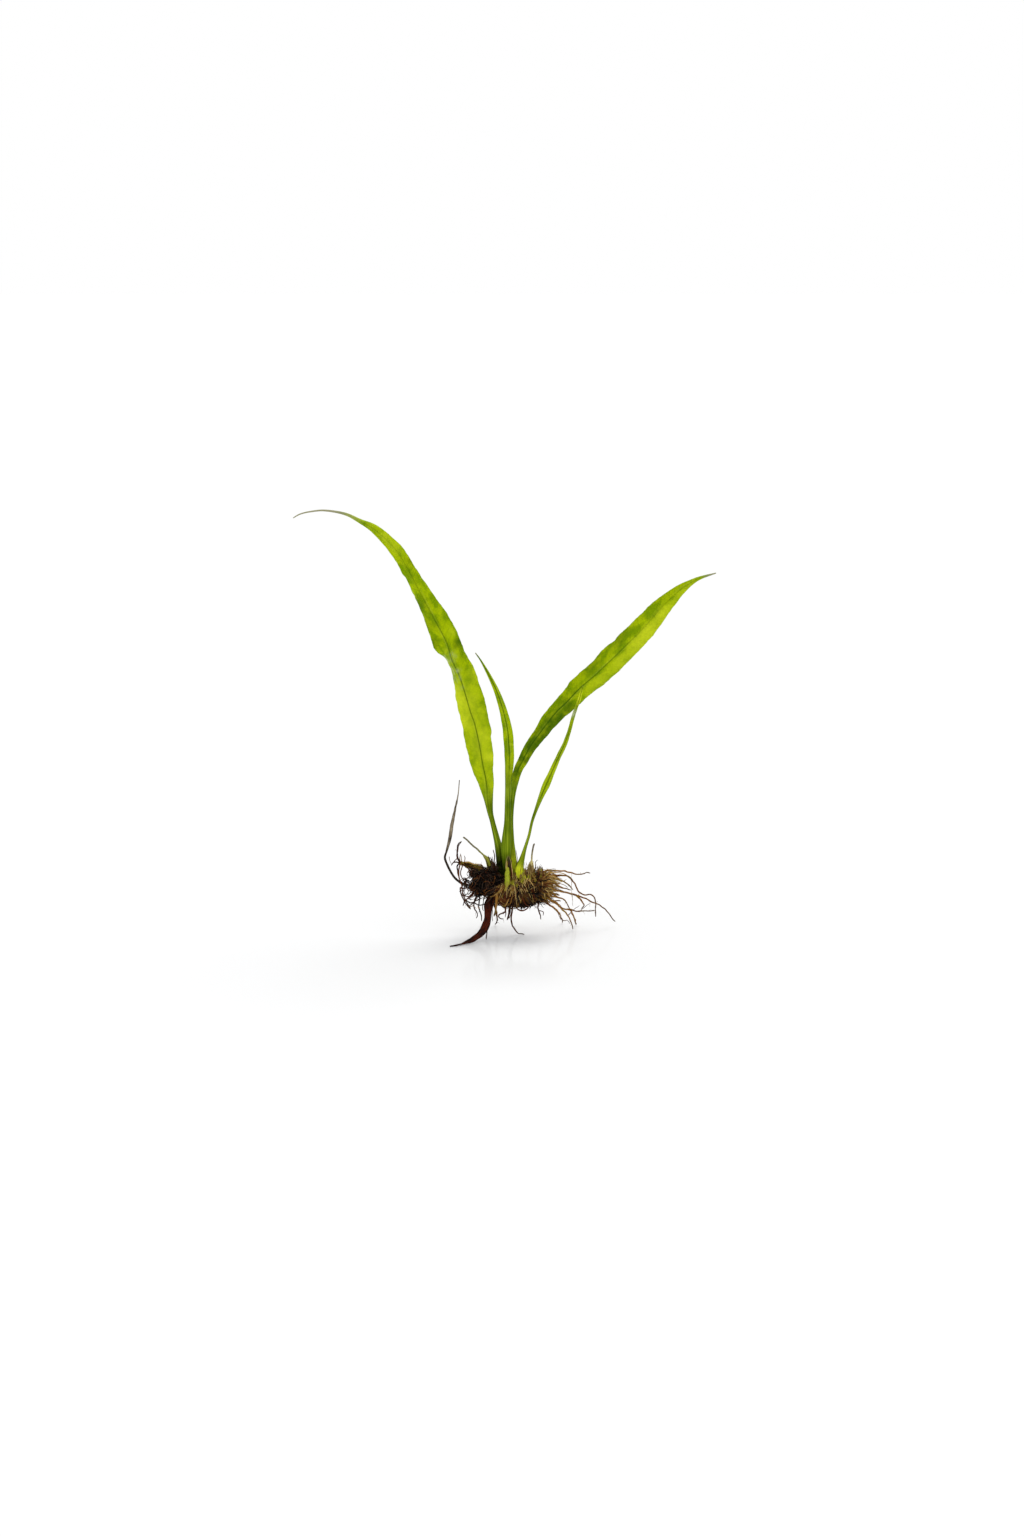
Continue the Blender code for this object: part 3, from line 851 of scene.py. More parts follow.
@dataclass
class Leaf:
    """One leaf: a stalk that widens into a thin, waved blade with a rib and veins.

    A row holds x, y and z of the rib, the width of the left and right half of the blade,
    and how many degrees each half turns towards the front. A tone holds x, z, radius and
    strength of a patch that is more yellow, partly as painted light, and darker where its
    strength is negative, partly as painted shade such as a fold's shadow. Side shading makes
    one half of the blade lighter and the other darker, as painted light and shade. Stalk
    and sheet are how thick the stalk and the blade are, rib is the height of the rib and
    ripple that of the waves of the margin.
    """

    name: str
    node: str
    rows: list[Row]
    stalk: float
    rib: float
    sheet: float
    ripple: float
    slot: Slot = Slot.LEAF
    tones: list[Row] = field(default_factory=list)
    pale_marks: list[Row] = field(default_factory=list)
    dry_from: float = 0.97
    dry_span: float = 0.03
    narrow: float = 0.0
    blade_after: float = 0.0
    side_shading: float = 0.0
    base_height: float = 0.0
    crumple: float = 0.0
    scallop: float = 0.06
    pucker: float = 0.05
    sunk: float = 1.6
    sides: int = 64
    step: float = 0.4
    seed: float = 0.0

    LAYERS = ("along", "across", "edge", "tone", "pale_mark", "dry", "stalk", "base")
    BLADE_RUN = 8.0
    BASE_RUN = 7.5
    STEM_ENDS = 0.6
    STEM_RUN = 0.1
    BEND_AT_RIB = 0.35
    GROOVE = 0.12
    PATCH_SCALE = 2.2
    PATCH_STRAY = 1.3

    def build(self, finish: Material) -> Piece:
        """Leaf as a piece.

        Args:
            finish: its material.

        Returns:
            The piece.
        """
        first, second = Vector(self.rows[0][:3]), Vector(self.rows[1][:3])
        foot = first + (first - second).normalized() * self.sunk
        path = Path([(*foot, *self.rows[0][3:])] + self.rows)
        skin = Skin(*self.LAYERS)
        count = round(path.length / self.step)
        skin.tube([self.ring(path, path.length * k / count) for k in range(count + 1)])
        return skin.piece(self.name, finish, self.slot, self.node)

    def strength(self, patches: list[Row], point: Vector) -> float:
        """Summed strength of patches with ragged borders at a point."""
        stray = noise.noise_vector(point / self.PATCH_SCALE) * self.PATCH_STRAY
        return patches_at(point + stray, patches)

    def chance(self, along: float, across: float, kind: int) -> float:
        """Noise over the blade, from about -1 to 1, another one for each kind."""
        return noise.noise(Vector((along, across, self.seed + kind)))

    def ring(self, path: Path, travelled: float) -> Ring:
        """Points around the leaf, across its front from left to right and back behind it.

        Args:
            path: the rib's way.
            travelled: distance from the foot.

        Returns:
            The ring.
        """
        place = path.place_at(travelled)
        x, y, z, left, right, turn_left, turn_right = path.row(place)
        along = path.direction(place)
        across = along.cross(Vector((0, -1, 0))).normalized()
        out = across.cross(along).normalized()
        middle = Vector((x, y, z))
        share = travelled / path.length
        narrow = self.narrow or self.stalk
        blade = clamped((left + right - narrow) / narrow)
        blade *= clamped((travelled - self.blade_after) / self.BLADE_RUN)
        blade = blade * blade * (3 - 2 * blade)
        dry = clamped((share - self.dry_from) / self.dry_span)
        stem = (1 - blade) * clamped((self.STEM_ENDS - share) / self.STEM_RUN)
        # Darker towards the foot, partly as painted shade between the stalks' feet
        base = clamped((self.base_height - z) / self.BASE_RUN)
        points = []
        numbers = {layer: [] for layer in self.LAYERS}
        for k in range(self.sides):
            turn_round = math.tau * k / self.sides
            column = -math.cos(turn_round)
            half, turn, side = (left, turn_left, -1) if column < 0 else (right, turn_right, 1)
            front = 1 if math.sin(turn_round) >= 0 else -1
            half *= self.margin(travelled, side, blade)
            away = abs(column)
            spot = Spot(travelled, share, side, front, away, away * half, blade)
            bend = math.radians(turn) * (self.BEND_AT_RIB + (1 - self.BEND_AT_RIB) * away)
            arm = across * (side * math.cos(bend)) + out * math.sin(bend)
            face = out * math.cos(bend) - across * (side * math.sin(bend))
            point = middle + arm * spot.offset + face * self.lift(spot)
            point = point + face * (front * self.depth(spot, min(self.stalk, left + right)))
            points.append(point)
            # Painted light and shade: one half of the blade lighter and the other darker
            side_shading = self.side_shading * side * min(away * 3, 1.0) * blade
            found = (travelled, side * spot.offset, away,
                     self.strength(self.tones, point) + side_shading,
                     self.strength(self.pale_marks, point), dry, stem, base)
            for layer, number in zip(self.LAYERS, found):
                numbers[layer].append(number)
        return Ring(points, numbers)

    def margin(self, travelled: float, side: int, blade: float) -> float:
        """Width factor of the blade's scalloped margin.

        Args:
            travelled: distance from the foot.
            side: -1 left of the rib and 1 right of it.
            blade: 0 on the stalk and 1 on the blade.

        Returns:
            The factor.
        """
        slow, fast = (self.chance(travelled / length, line * side, 0)
                      for length, line in ((3.4, 5.0), (1.2, 9.0)))
        return 1 + blade * self.scallop * (slow + 0.4 * fast)

    def lift(self, spot: Spot) -> float:
        """How far the blade stands towards the front of its plain sheet.

        Args:
            spot: the point.

        Returns:
            The lift.
        """
        line = 3.0 * spot.side
        slow = self.chance(spot.travelled / 5.2, line, 2)
        fast = self.chance(spot.travelled / 2.0, line, 4)
        wave = self.ripple * spot.away ** 1.7 * (slow + 0.35 * fast)
        phase = (spot.travelled - VEIN_SLOPE * spot.offset) / VEIN_SPACING
        groove = bell(phase - round(phase), self.GROOVE)
        rough = self.chance(spot.travelled / 1.3, spot.side * spot.offset / 1.3, 6)
        puckers = self.pucker * (rough - groove * (1 - spot.away ** 4))
        folds = self.crumple * self.chance(spot.travelled / 1.7, spot.side * spot.away, 8)
        return (wave + puckers) * spot.blade + folds

    def depth(self, spot: Spot, thick: float) -> float:
        """Half the leaf's thickness.

        Args:
            spot: the point.
            thick: thickness of the stalk there.

        Returns:
            The distance from the middle of the sheet to its face.
        """
        grain = noise.noise(Vector((spot.offset * 3, spot.share * 9, 0)))
        rough = 0.05 * math.cos(spot.away * 9.0) + 0.04 * grain
        stalk = 0.5 * thick * math.sqrt(max(1 - spot.away * spot.away, 0.0)) * (1 + rough)
        sheet = 0.5 * self.sheet * math.sqrt(max(1 - spot.away ** 6, 0.0))
        tall = self.rib * (1 - 0.7 * spot.share)
        if spot.front > 0:
            ridge = 0.22 * tall * bell(spot.offset, 0.22)
            ridge -= 0.16 * tall * bell(spot.offset - 0.5, 0.25)
        else:
            ridge = 0.6 * tall * bell(spot.offset, 0.42)
        return stalk * (1 - spot.blade) + (sheet + ridge) * spot.blade


LEAF_LEFT = [
    (-1.1, 0.7, 21.2, 1.4, 1.4, 0, 0), (-1.4, 0.8, 24.7, 1.4, 1.4, 0, 0),
    (-1.9, 0.8, 30.5, 1.4, 1.4, 0, 0), (-2.8, 1.0, 34.7, 1.1, 1.1, 0, 0),
    (-4.2, 1.3, 40.4, 0.9, 0.9, 0, 0), (-5.1, 1.6, 43.9, 1.0, 1.1, 0, 0),
    (-5.8, 2.0, 48.8, 1.6, 1.8, -5, 5), (-6.5, 2.6, 55.1, 3.2, 2.8, -10, 10),
    (-7.6, 3.2, 60.4, 4.3, 3.9, -15, 15), (-8.8, 4.0, 67.4, 5.0, 4.9, -18, 20),
    (-10.3, 4.8, 74.3, 5.0, 5.5, -22, 18), (-12.1, 5.4, 79.6, 5.0, 6.1, -32, 12),
    (-13.8, 6.0, 85.5, 5.2, 5.9, -45, 8), (-15.9, 6.4, 91.8, 5.2, 5.8, -62, 0),
    (-18.2, 6.8, 96.7, 4.8, 5.3, -72, -8), (-19.4, 7.0, 100.6, 5.2, 4.9, -35, -5),
    (-20.6, 7.2, 104.1, 5.1, 4.9, -15, 0), (-24.3, 7.5, 111.1, 4.3, 4.9, -30, 8),
    (-28.1, 7.8, 118.1, 3.7, 4.0, -45, 15), (-33.5, 8.0, 128.6, 2.9, 2.8, -30, 20),
    (-37.8, 8.0, 135.6, 2.4, 2.4, -15, 10), (-44.7, 7.6, 142.6, 1.6, 1.6, 0, 0),
    (-50.2, 7.0, 145.8, 0.8, 0.8, 0, 0), (-55.4, 6.2, 148.4, 0.5, 0.5, 0, 0),
    (-62.2, 5.0, 149.7, 0.34, 0.34, 0, 0), (-67.2, 4.2, 149.4, 0.28, 0.28, 0, 0),
    (-70.8, 3.6, 148.6, 0.24, 0.24, 0, 0), (-73.2, 3.0, 147.3, 0.18, 0.18, 0, 0),
]
LEAF_CENTRE = [
    (0.9, -1.3, 20.3, 1.2, 1.1, 0, 0), (1.0, -1.4, 23.5, 1.6, 1.0, 0, 0),
    (1.2, -1.6, 27.4, 2.1, 1.0, 0, 0), (1.2, -1.8, 31.0, 2.4, 1.0, 0, 0),
    (1.2, -2.0, 34.6, 2.2, 1.0, 0, 0), (1.2, -2.3, 38.2, 1.7, 1.0, 0, 0),
    (1.2, -2.5, 41.8, 1.3, 1.0, 0, 0), (1.1, -3.0, 49.0, 1.0, 1.0, 0, 0),
    (1.2, -3.5, 54.5, 1.0, 1.1, 0, 0), (1.7, -4.3, 61.7, 1.6, 1.5, 10, 10),
    (1.6, -5.0, 67.8, 1.8, 1.8, 15, 15), (1.1, -5.8, 74.3, 1.8, 1.7, 20, 15),
    (-0.3, -6.8, 80.8, 1.4, 1.4, 20, 10), (-1.9, -7.6, 86.2, 1.1, 1.05, 10, 5),
    (-3.6, -8.4, 90.5, 0.85, 0.8, 5, 0), (-5.9, -9.2, 95.2, 0.55, 0.55, 0, 0),
    (-8.1, -9.8, 99.2, 0.3, 0.3, 0, 0), (-10.0, -10.2, 102.0, 0.2, 0.2, 0, 0),
]
LEAF_RIGHT = [
    (2.7, 1.3, 20.5, 0.9, 1.7, 0, 0), (2.6, 1.4, 23.5, 0.9, 1.9, 0, 0),
    (2.5, 1.5, 27.4, 0.9, 1.7, 0, 0), (2.4, 1.6, 30.6, 0.9, 1.4, 0, 0),
    (2.3, 1.7, 33.9, 0.9, 1.1, 0, 0), (2.3, 2.0, 41.0, 0.8, 0.8, 0, 0),
    (2.6, 2.3, 48.1, 1.0, 1.0, 0, 0),
    (3.3, 2.8, 53.3, 1.2, 1.3, 0, 5), (4.7, 3.3, 58.6, 1.5, 1.6, 0, 10),
    (6.5, 3.8, 62.1, 1.7, 1.9, 0, 15), (8.9, 4.5, 66.6, 2.0, 2.2, 5, 20),
    (11.9, 5.3, 70.7, 2.2, 2.7, 8, 25), (14.6, 6.0, 74.3, 2.7, 3.0, 10, 25),
    (18.1, 6.9, 78.6, 3.2, 3.5, 12, 22), (21.6, 7.7, 81.9, 3.6, 3.8, 15, 18),
    (26.5, 8.8, 86.9, 4.2, 4.1, 15, 12), (31.8, 9.8, 91.3, 4.6, 4.5, 18, 10),
    (37.0, 10.8, 96.1, 5.0, 4.7, 20, 8), (42.3, 11.6, 101.2, 4.9, 4.6, 20, 5),
    (47.6, 12.4, 106.4, 4.5, 4.4, 15, 0), (51.1, 12.9, 110.2, 4.1, 4.1, 10, -5),
    (54.6, 13.3, 114.2, 3.5, 3.5, 5, -5), (58.1, 13.6, 117.7, 2.7, 2.7, 0, -5),
    (61.6, 13.8, 120.9, 1.9, 1.9, 0, 0), (65.1, 14.0, 123.3, 1.1, 1.1, 0, 0),
    (68.6, 14.1, 125.1, 0.6, 0.6, 0, 0), (74.2, 14.2, 126.8, 0.2, 0.2, 0, 0),
]
LEAF_SMALL = [
    (5.0, -2.0, 20.4, 1.5, 1.5, 0, 0), (5.1, -2.3, 22.5, 1.6, 1.6, 0, 0),
    (5.3, -2.7, 25.0, 1.6, 1.5, 0, 0), (6.0, -3.0, 27.6, 1.0, 1.0, 0, 0),
    (7.2, -3.6, 32.0, 0.6, 0.6, 0, 0), (8.6, -4.3, 36.8, 0.5, 0.5, 0, 0),
    (9.6, -5.0, 41.6, 0.5, 0.5, 0, 0), (11.0, -5.6, 46.0, 0.6, 0.6, 0, 0),
    (12.7, -6.2, 50.7, 0.9, 0.9, 0, 5), (14.5, -6.8, 55.1, 1.3, 1.3, 5, 10),
    (16.5, -7.4, 59.8, 1.1, 1.1, 15, 20), (18.6, -8.0, 64.8, 1.0, 1.0, 25, 30),
    (20.7, -8.6, 69.5, 1.0, 1.0, 35, 35), (22.4, -9.2, 74.2, 0.9, 0.8, 50, 45),
    (23.7, -9.7, 79.2, 0.8, 0.6, 68, 60), (24.8, -10.0, 82.7, 0.6, 0.5, 68, 60),
    (25.8, -10.3, 85.6, 0.6, 0.6, 30, 30), (27.1, -10.8, 90.5, 0.2, 0.2, 0, 0),
]
LEAF_WITHERED = [
    (-13.7, -4.2, 18.8, 0.5, 0.5, 0, 0), (-15.8, -2.5, 19.7, 0.45, 0.45, 0, 0),
    (-17.7, -2.8, 21.5, 0.4, 0.4, 0, 0), (-19.4, -3.0, 24.4, 0.4, 0.4, 0, 0),
    (-20.5, -3.2, 27.0, 0.4, 0.4, 20, 20), (-20.9, -3.4, 28.8, 0.4, 0.4, 30, 30),
    (-20.2, -3.6, 31.3, 0.4, 0.4, 20, 20), (-19.1, -4.0, 35.7, 0.6, 0.6, 0, 0),
    (-18.4, -4.4, 40.4, 0.6, 0.6, 10, 10), (-17.3, -5.0, 45.9, 0.4, 0.4, 30, 30),
    (-16.2, -5.6, 51.3, 0.2, 0.2, 0, 0), (-15.7, -6.2, 56.7, 0.15, 0.15, 0, 0),
]
LEAF_DEAD = [
    (-4.5, -1.5, 14.4, 1.2, 1.2, 0, 0), (-4.9, -2.2, 13.3, 1.4, 1.4, 0, 0),
    (-5.6, -3.4, 11.4, 1.7, 1.7, 0, 0), (-5.8, -5.0, 9.4, 1.3, 1.3, 0, 0),
    (-6.0, -6.6, 7.3, 1.3, 1.2, 10, 10), (-6.9, -8.6, 4.8, 1.5, 1.4, 15, 15),
    (-8.6, -10.6, 2.9, 1.3, 1.2, 20, 20), (-11.2, -12.8, 1.4, 1.1, 1.0, 20, 20),
    (-13.4, -14.6, 0.75, 0.6, 0.6, 10, 10), (-15.1, -16.0, 0.4, 0.3, 0.3, 0, 0),
    (-17.2, -17.6, 0.3, 0.3, 0.3, 0, 0), (-18.9, -18.6, 0.2, 0.2, 0.2, 0, 0),
]

# Leaf tones: dark ones are partly painted shade, yellow ones partly painted light
TONES_LEFT = [
    (-16.6, 83.2, 2.8, 0.5), (-14.9, 75.4, 2.4, 0.5), (-18.4, 86.7, 1.8, 0.4),
    (-18.3, 107.2, 2.1, 0.5), (-20.4, 100.2, 1.4, 0.5), (-9.3, 93.1, 3.1, 0.4),
    (-7.2, 70.8, 2.1, 0.3), (-4.8, 62.9, 1.8, 0.6), (-38.0, 136.6, 3.1, 0.4),
    (-41.5, 140.8, 2.1, 0.5), (-46.0, 145.0, 2.1, 0.4), (-34.6, 122.6, 1.8, 0.3),
    (-12.1, 58.3, 2.1, 0.3), (-23.5, 114.9, 1.8, 0.3), (-16.6, 102.3, 2.2, -0.7),
    (-15.2, 104.4, 1.8, -0.5), (-24.6, 102.6, 2.2, -0.5), (-29.8, 116.3, 2.6, -0.45),
    (-31.1, 130.3, 2.6, -0.45), (-32.5, 132.4, 1.8, -0.4), (-26.0, 109.7, 2.4, -0.3),
    (-7.5, 83.2, 2.1, -0.3), (-12.8, 63.6, 1.8, -0.3), (-36.7, 130.3, 2.1, -0.3),
    (-21.2, 94.5, 1.0, -0.3), (-14.0, 82.0, 9.0, 0.5), (-8.0, 66.0, 8.0, 0.42),
    (-28.0, 113.0, 10.0, -0.18), (-4.6, 40.0, 3.0, -0.35), (-5.0, 53.0, 5.0, 0.3),
]
# Painted highlight along the fold of the left leaf
FOLD_HIGHLIGHTS_LEFT = [
    (-21.6, 98.0, 1.0, 0.8), (-20.0, 96.4, 1.1, 1.0), (-18.8, 93.5, 0.9, 1.0),
    (-18.5, 90.6, 0.8, 0.8), (-17.2, 93.0, 1.0, 0.7), (-16.2, 90.0, 0.9, 0.6),
    (-17.9, 99.0, 0.9, 0.4), (-15.4, 87.0, 0.7, 0.4),
]
TONES_RIGHT = [
    (50.3, 106.7, 3.6, 0.5), (46.1, 102.1, 3.4, 0.4), (54.4, 113.7, 3.4, 0.4),
    (40.5, 96.0, 3.4, 0.2), (33.5, 89.7, 3.0, 0.1), (28.2, 84.0, 1.8, 0.2),
    (64.8, 123.2, 2.1, 0.3), (26.2, 84.2, 2.2, -0.6), (23.2, 80.4, 2.5, -1.2),
    (19.7, 76.6, 2.6, -1.4), (16.4, 73.0, 2.6, -1.4), (13.2, 69.2, 2.6, -1.4),
    (10.4, 66.0, 2.5, -1.3), (7.8, 62.2, 2.4, -1.2), (5.0, 57.4, 2.4, -0.9),
    (3.2, 52.4, 2.4, -0.55), (1.9, 46.8, 2.4, -0.55), (40.5, 103.8, 3.4, -0.25),
    (30.0, 95.0, 3.4, -0.25), (54.4, 117.9, 2.1, -0.2), (3.6, 26.0, 4.6, 0.6),
]
TONES_CENTRE = [
    (2.6, 68.9, 1.0, 0.5), (2.3, 60.1, 1.0, 0.4), (-2.2, 83.0, 1.4, 0.3),
    (-7.1, 96.0, 1.8, -0.5), (-4.3, 91.8, 1.8, -0.4), (1.6, 47.6, 2.1, -0.6),
    (1.2, 38.7, 2.4, -0.5),
]
TONES_SMALL = [
    (26.2, 87.2, 3.4, 0.9), (14.5, 58.5, 1.8, 0.3), (5.2, 23.0, 3.4, 1.0),
    (5.1, 30.0, 1.8, 0.5), (23.8, 80.0, 1.4, -0.4), (21.4, 75.1, 1.4, -0.3),
    (10.0, 44.3, 1.8, -0.3), (8.4, 37.0, 3.6, 0.2), (12.6, 50.8, 3.0, 0.3),
    (16.4, 60.4, 3.0, 0.3), (19.6, 68.0, 3.0, 0.3), (18.0, 64.0, 2.0, 0.2),
]
# Greyish mark at the small leaf's turned edge
PALE_MARKS_SMALL = [(24.3, 80.6, 1.2, 0.8)]


@dataclass
class Foliage:
    """All six leaves."""

    living: LeafFinish = LeafFinish()
    withered: DeadLeafFinish = DeadLeafFinish(
        "withered_leaf", (156, 144, 122), (112, 98, 76), (40, 31, 22),
        Coat(rough=0.7, swing=0.2, gloss=0.1, depth=0.18, strength=0.8), dark_foot=17.0)
    dead: DeadLeafFinish = DeadLeafFinish(
        "dead_leaf", (86, 34, 13), (48, 19, 8), (15, 8, 5),
        Coat(rough=0.5, swing=0.2, gloss=0.08, depth=0.18, strength=0.8))

    def build(self) -> list[Piece]:
        """All leaves.

        Returns:
            The pieces.
        """
        living = self.living.make()
        pieces = [leaf.build(living) for leaf in (
            Leaf("blade_left", "leaf_left", LEAF_LEFT, 2.6, 0.9, 0.36, 0.75,
                 tones=TONES_LEFT, pale_marks=FOLD_HIGHLIGHTS_LEFT, dry_from=0.84, dry_span=0.07,
                 base_height=34.0, seed=1.0),
            Leaf("blade_centre", "leaf_centre", LEAF_CENTRE, 1.9, 0.8, 0.34, 0.3,
                 tones=TONES_CENTRE, base_height=31.0, blade_after=30.0, seed=11.0),
            Leaf("blade_right", "leaf_right", LEAF_RIGHT, 1.8, 0.8, 0.36, 0.75,
                 tones=TONES_RIGHT, dry_from=0.96, side_shading=0.3, blade_after=26.0,
                 seed=21.0),
            Leaf("blade_small", "leaf_small", LEAF_SMALL, 2.4, 0.6, 0.3, 0.25,
                 tones=TONES_SMALL, pale_marks=PALE_MARKS_SMALL, dry_from=0.995, narrow=1.0,
                 blade_after=24.0, seed=31.0, sides=48),
        )]
        pieces.append(Leaf(
            "blade_withered", "leaf_withered", LEAF_WITHERED, 0.9, 0.3, 0.22, 0.2,
            slot=Slot.WITHERED, dry_from=1.0, crumple=0.25, pucker=0.02, sunk=0.8,
            sides=24, step=0.35, seed=41.0).build(self.withered.make()))
        pieces.append(Leaf(
            "blade_dead", "leaf_dead", LEAF_DEAD, 1.2, 0.4, 0.4, 0.35,
            slot=Slot.DEAD, dry_from=0.6, dry_span=0.4, crumple=0.3, scallop=0.12, sunk=1.0,
            sides=40, step=0.25, seed=51.0).build(self.dead.make()))
        return pieces


# Rhizome


@dataclass
class Rhizome:
    """Creeping stem with its scales and the short fibres that cover it.

    A row holds x, y, z and the radius, and a shade x, z, radius and strength of a patch
    whose fibres are more golden, or darker if its strength is negative.
    """

    rows: list[Row] = field(default_factory=lambda: [
        (-16.2, 1.0, 25.9, 0.6), (-13.6, 1.0, 25.2, 0.8), (-10.4, 1.0, 24.3, 0.9),
        (-7.6, 0.8, 22.9, 1.2), (-5.5, 0.4, 20.5, 2.1), (-3.4, 0.0, 17.7, 3.3),
        (-0.5, 0.0, 15.5, 4.5), (3.0, 0.0, 15.2, 5.4), (6.5, 0.0, 15.9, 5.8),
        (9.7, 0.0, 16.8, 5.6), (12.1, 0.0, 17.3, 5.2), (14.2, 0.0, 17.5, 4.4),
        (15.7, 0.0, 17.7, 2.6), (16.4, 0.0, 17.8, 1.2),
    ])
    shades: list[Row] = field(default_factory=lambda: [
        (10.8, 18.6, 3.2, -0.7), (7.6, 14.2, 3.2, -0.45), (3.0, 20.0, 2.6, 0.5),
        (6.2, 20.0, 2.8, 0.6), (14.6, 15.6, 2.6, 0.4), (15.6, 20.6, 2.8, 0.7),
        (-2.5, 18.4, 3.0, 0.4), (1.9, 19.2, 1.8, 0.4), (5.4, 19.0, 2.0, 0.5),
        (9.0, 15.4, 2.2, -0.5),
    ])
    lumps: float = 0.1
    sides: int = 96
    step: float = 0.26
    floor_of_skin: float = 10.6
    hollow_start: float = 5.5
    hollow_run: float = 4.0
    hollow_depth: float = 2.2
    relief_depth: float = 0.62
    fibres: int = 1060
    fibres_old_from: int = 850
    fibre_foot: float = 1.4
    fibre_end: float = 0.5
    last_place: float = 12.6

    def __post_init__(self) -> None:
        """Lay the curve through the rows."""
        self.path = Path(self.rows)

    def skin(self, place: float, angle: float) -> Vector:
        """Point on the plain rhizome.

        Args:
            place: place along the curve.
            angle: angle around it: 0 is up and 90 the front.

        Returns:
            The point.
        """
        x, y, z, radius = self.path.row(place)
        along = self.path.direction(place)
        up = (Vector((0, 0, 1)) - along * along.z).normalized()
        front = along.cross(up)
        turn = math.radians(angle)
        out = up * math.cos(turn) + front * math.sin(turn)
        middle = Vector((x, y, z))
        lump = noise.noise(middle * 0.3 + out * 1.2)
        point = middle + out * radius * (1 + self.lumps * lump)
        pit_shade_and_fleck = self.hollow_depth * clamped((x - self.hollow_start) / self.hollow_run)
        point.z = max(point.z, self.floor_of_skin + pit_shade_and_fleck + 0.5 * lump)
        return point

    def normal(self, place: float, angle: float) -> Vector:
        """Direction straight out from the skin.

        Args:
            place: place along the curve.
            angle: angle around it.

        Returns:
            The direction.
        """
        before, after = max(place - 0.05, 0), min(place + 0.05, len(self.rows) - 1)
        lengthwise = self.skin(after, angle) - self.skin(before, angle)
        around = self.skin(place, angle + 2) - self.skin(place, angle - 2)
        return around.cross(lengthwise).normalized()

    def relief(self, point: Vector) -> float:
        """Height of the rough skin at a point.

        Args:
            point: the point.

        Returns:
            The height, from about -1 to 1.
        """
        coarse = noise.noise(point / 2.1)
        middle = noise.noise(point / 0.9 + Vector((4, 4, 4)))
        fine = noise.noise(point / 0.35 + Vector((9, 9, 9)))
        return 0.75 * coarse + 0.35 * middle + 0.18 * fine

    def build_skin(self) -> Piece:
        """The stem itself.

        Returns:
            The piece.
        """
        skin = Skin("relief")
        count = round(self.path.length / self.step)
        rings = []
        for index in range(count + 1):
            place = self.path.place_at(self.path.length * index / count)
            depth = min(self.relief_depth, 0.3 * self.path.row(place)[3])
            points, heights = [], []
            for k in range(self.sides):
                angle = 360 * k / self.sides
                point = self.skin(place, angle)
                height = self.relief(point)
                point = point + self.normal(place, angle) * height * depth
                point.z = max(point.z, self.floor_of_skin)
                points.append(point)
                heights.append(height)
            rings.append(Ring(points, {"relief": heights}))
        skin.tube(rings)
        return skin.piece("rhizome_stem", RhizomeFinish().make(), Slot.RHIZOME, "rhizome")

    def build_coir(self, finish: Material) -> Piece:
        """The matted fibres and scales that lie on the stem, as one piece.

        Args:
            finish: their material.

        Returns:
            The piece.
        """
        rng = random.Random(7)
        skin = Skin("hue", "tip")
        for index in range(self.fibres):
            is_old = index >= self.fibres_old_from
            place = rng.uniform(0.4, 3.6) if is_old else rng.uniform(3.4, 12.7)
            angle = rng.uniform(-180, 180)
            hue = rng.choice((0.05, 0.2, 0.35, 0.6)) if is_old else self.hue_at(rng, place, angle)
            run, swing = rng.uniform(-0.12, 0.42), rng.gauss(0, 22)
            steps = rng.randint(3, 5)
            sunk = {0: self.fibre_foot, steps: self.fibre_end}
            rise = rng.uniform(0.0, 0.7)
            rows = []
            for step in range(steps + 1):
                at = min(max(place + run * step, 0.3), self.last_place)
                around = angle + swing * step
                swell = rise + rng.uniform(-0.25, 0.3) - sunk.get(step, 0.0)
                swell *= 0.45 if is_old else 1.0
                point = self.skin(at, around)
                rows.append(point + self.normal(at, around) * (swell + 0.4 * self.relief(point)))
            width = rng.choice((0.14, 0.2, 0.26, 0.36, 0.6)) * (0.7 if is_old else 1.0)
            skin.strand(rows, (width, width * 0.5), sides=5, step=0.7, wander=0.25, hue=hue,
                        flat=rng.choice((1.0, 1.0, 0.4)))
        return skin.piece("rhizome_fibres", finish, Slot.RHIZOME)

    def hue_at(self, rng: random.Random, place: float, angle: float) -> float:
        """Hue of a fibre: dark at the left, golden at the right, with painted light on top and
        shade below.

        Args:
            rng: where chance comes from.
            place: place along the rhizome.
            angle: angle around it.

        Returns:
            The hue.
        """
        golden = 0.22 + 0.32 * clamped((place - 8.2) / 3.0)
        # Painted light and shade: fibres on top lighter, those underneath darker
        above = 0.16 * math.cos(math.radians(angle - 25))
        above = patches_at(self.skin(place, angle), self.shades, above)
        return min(max(golden + above + rng.gauss(0, 0.28), 0.0), 1.3)


# Roots, whose number counts up from 1 on each side


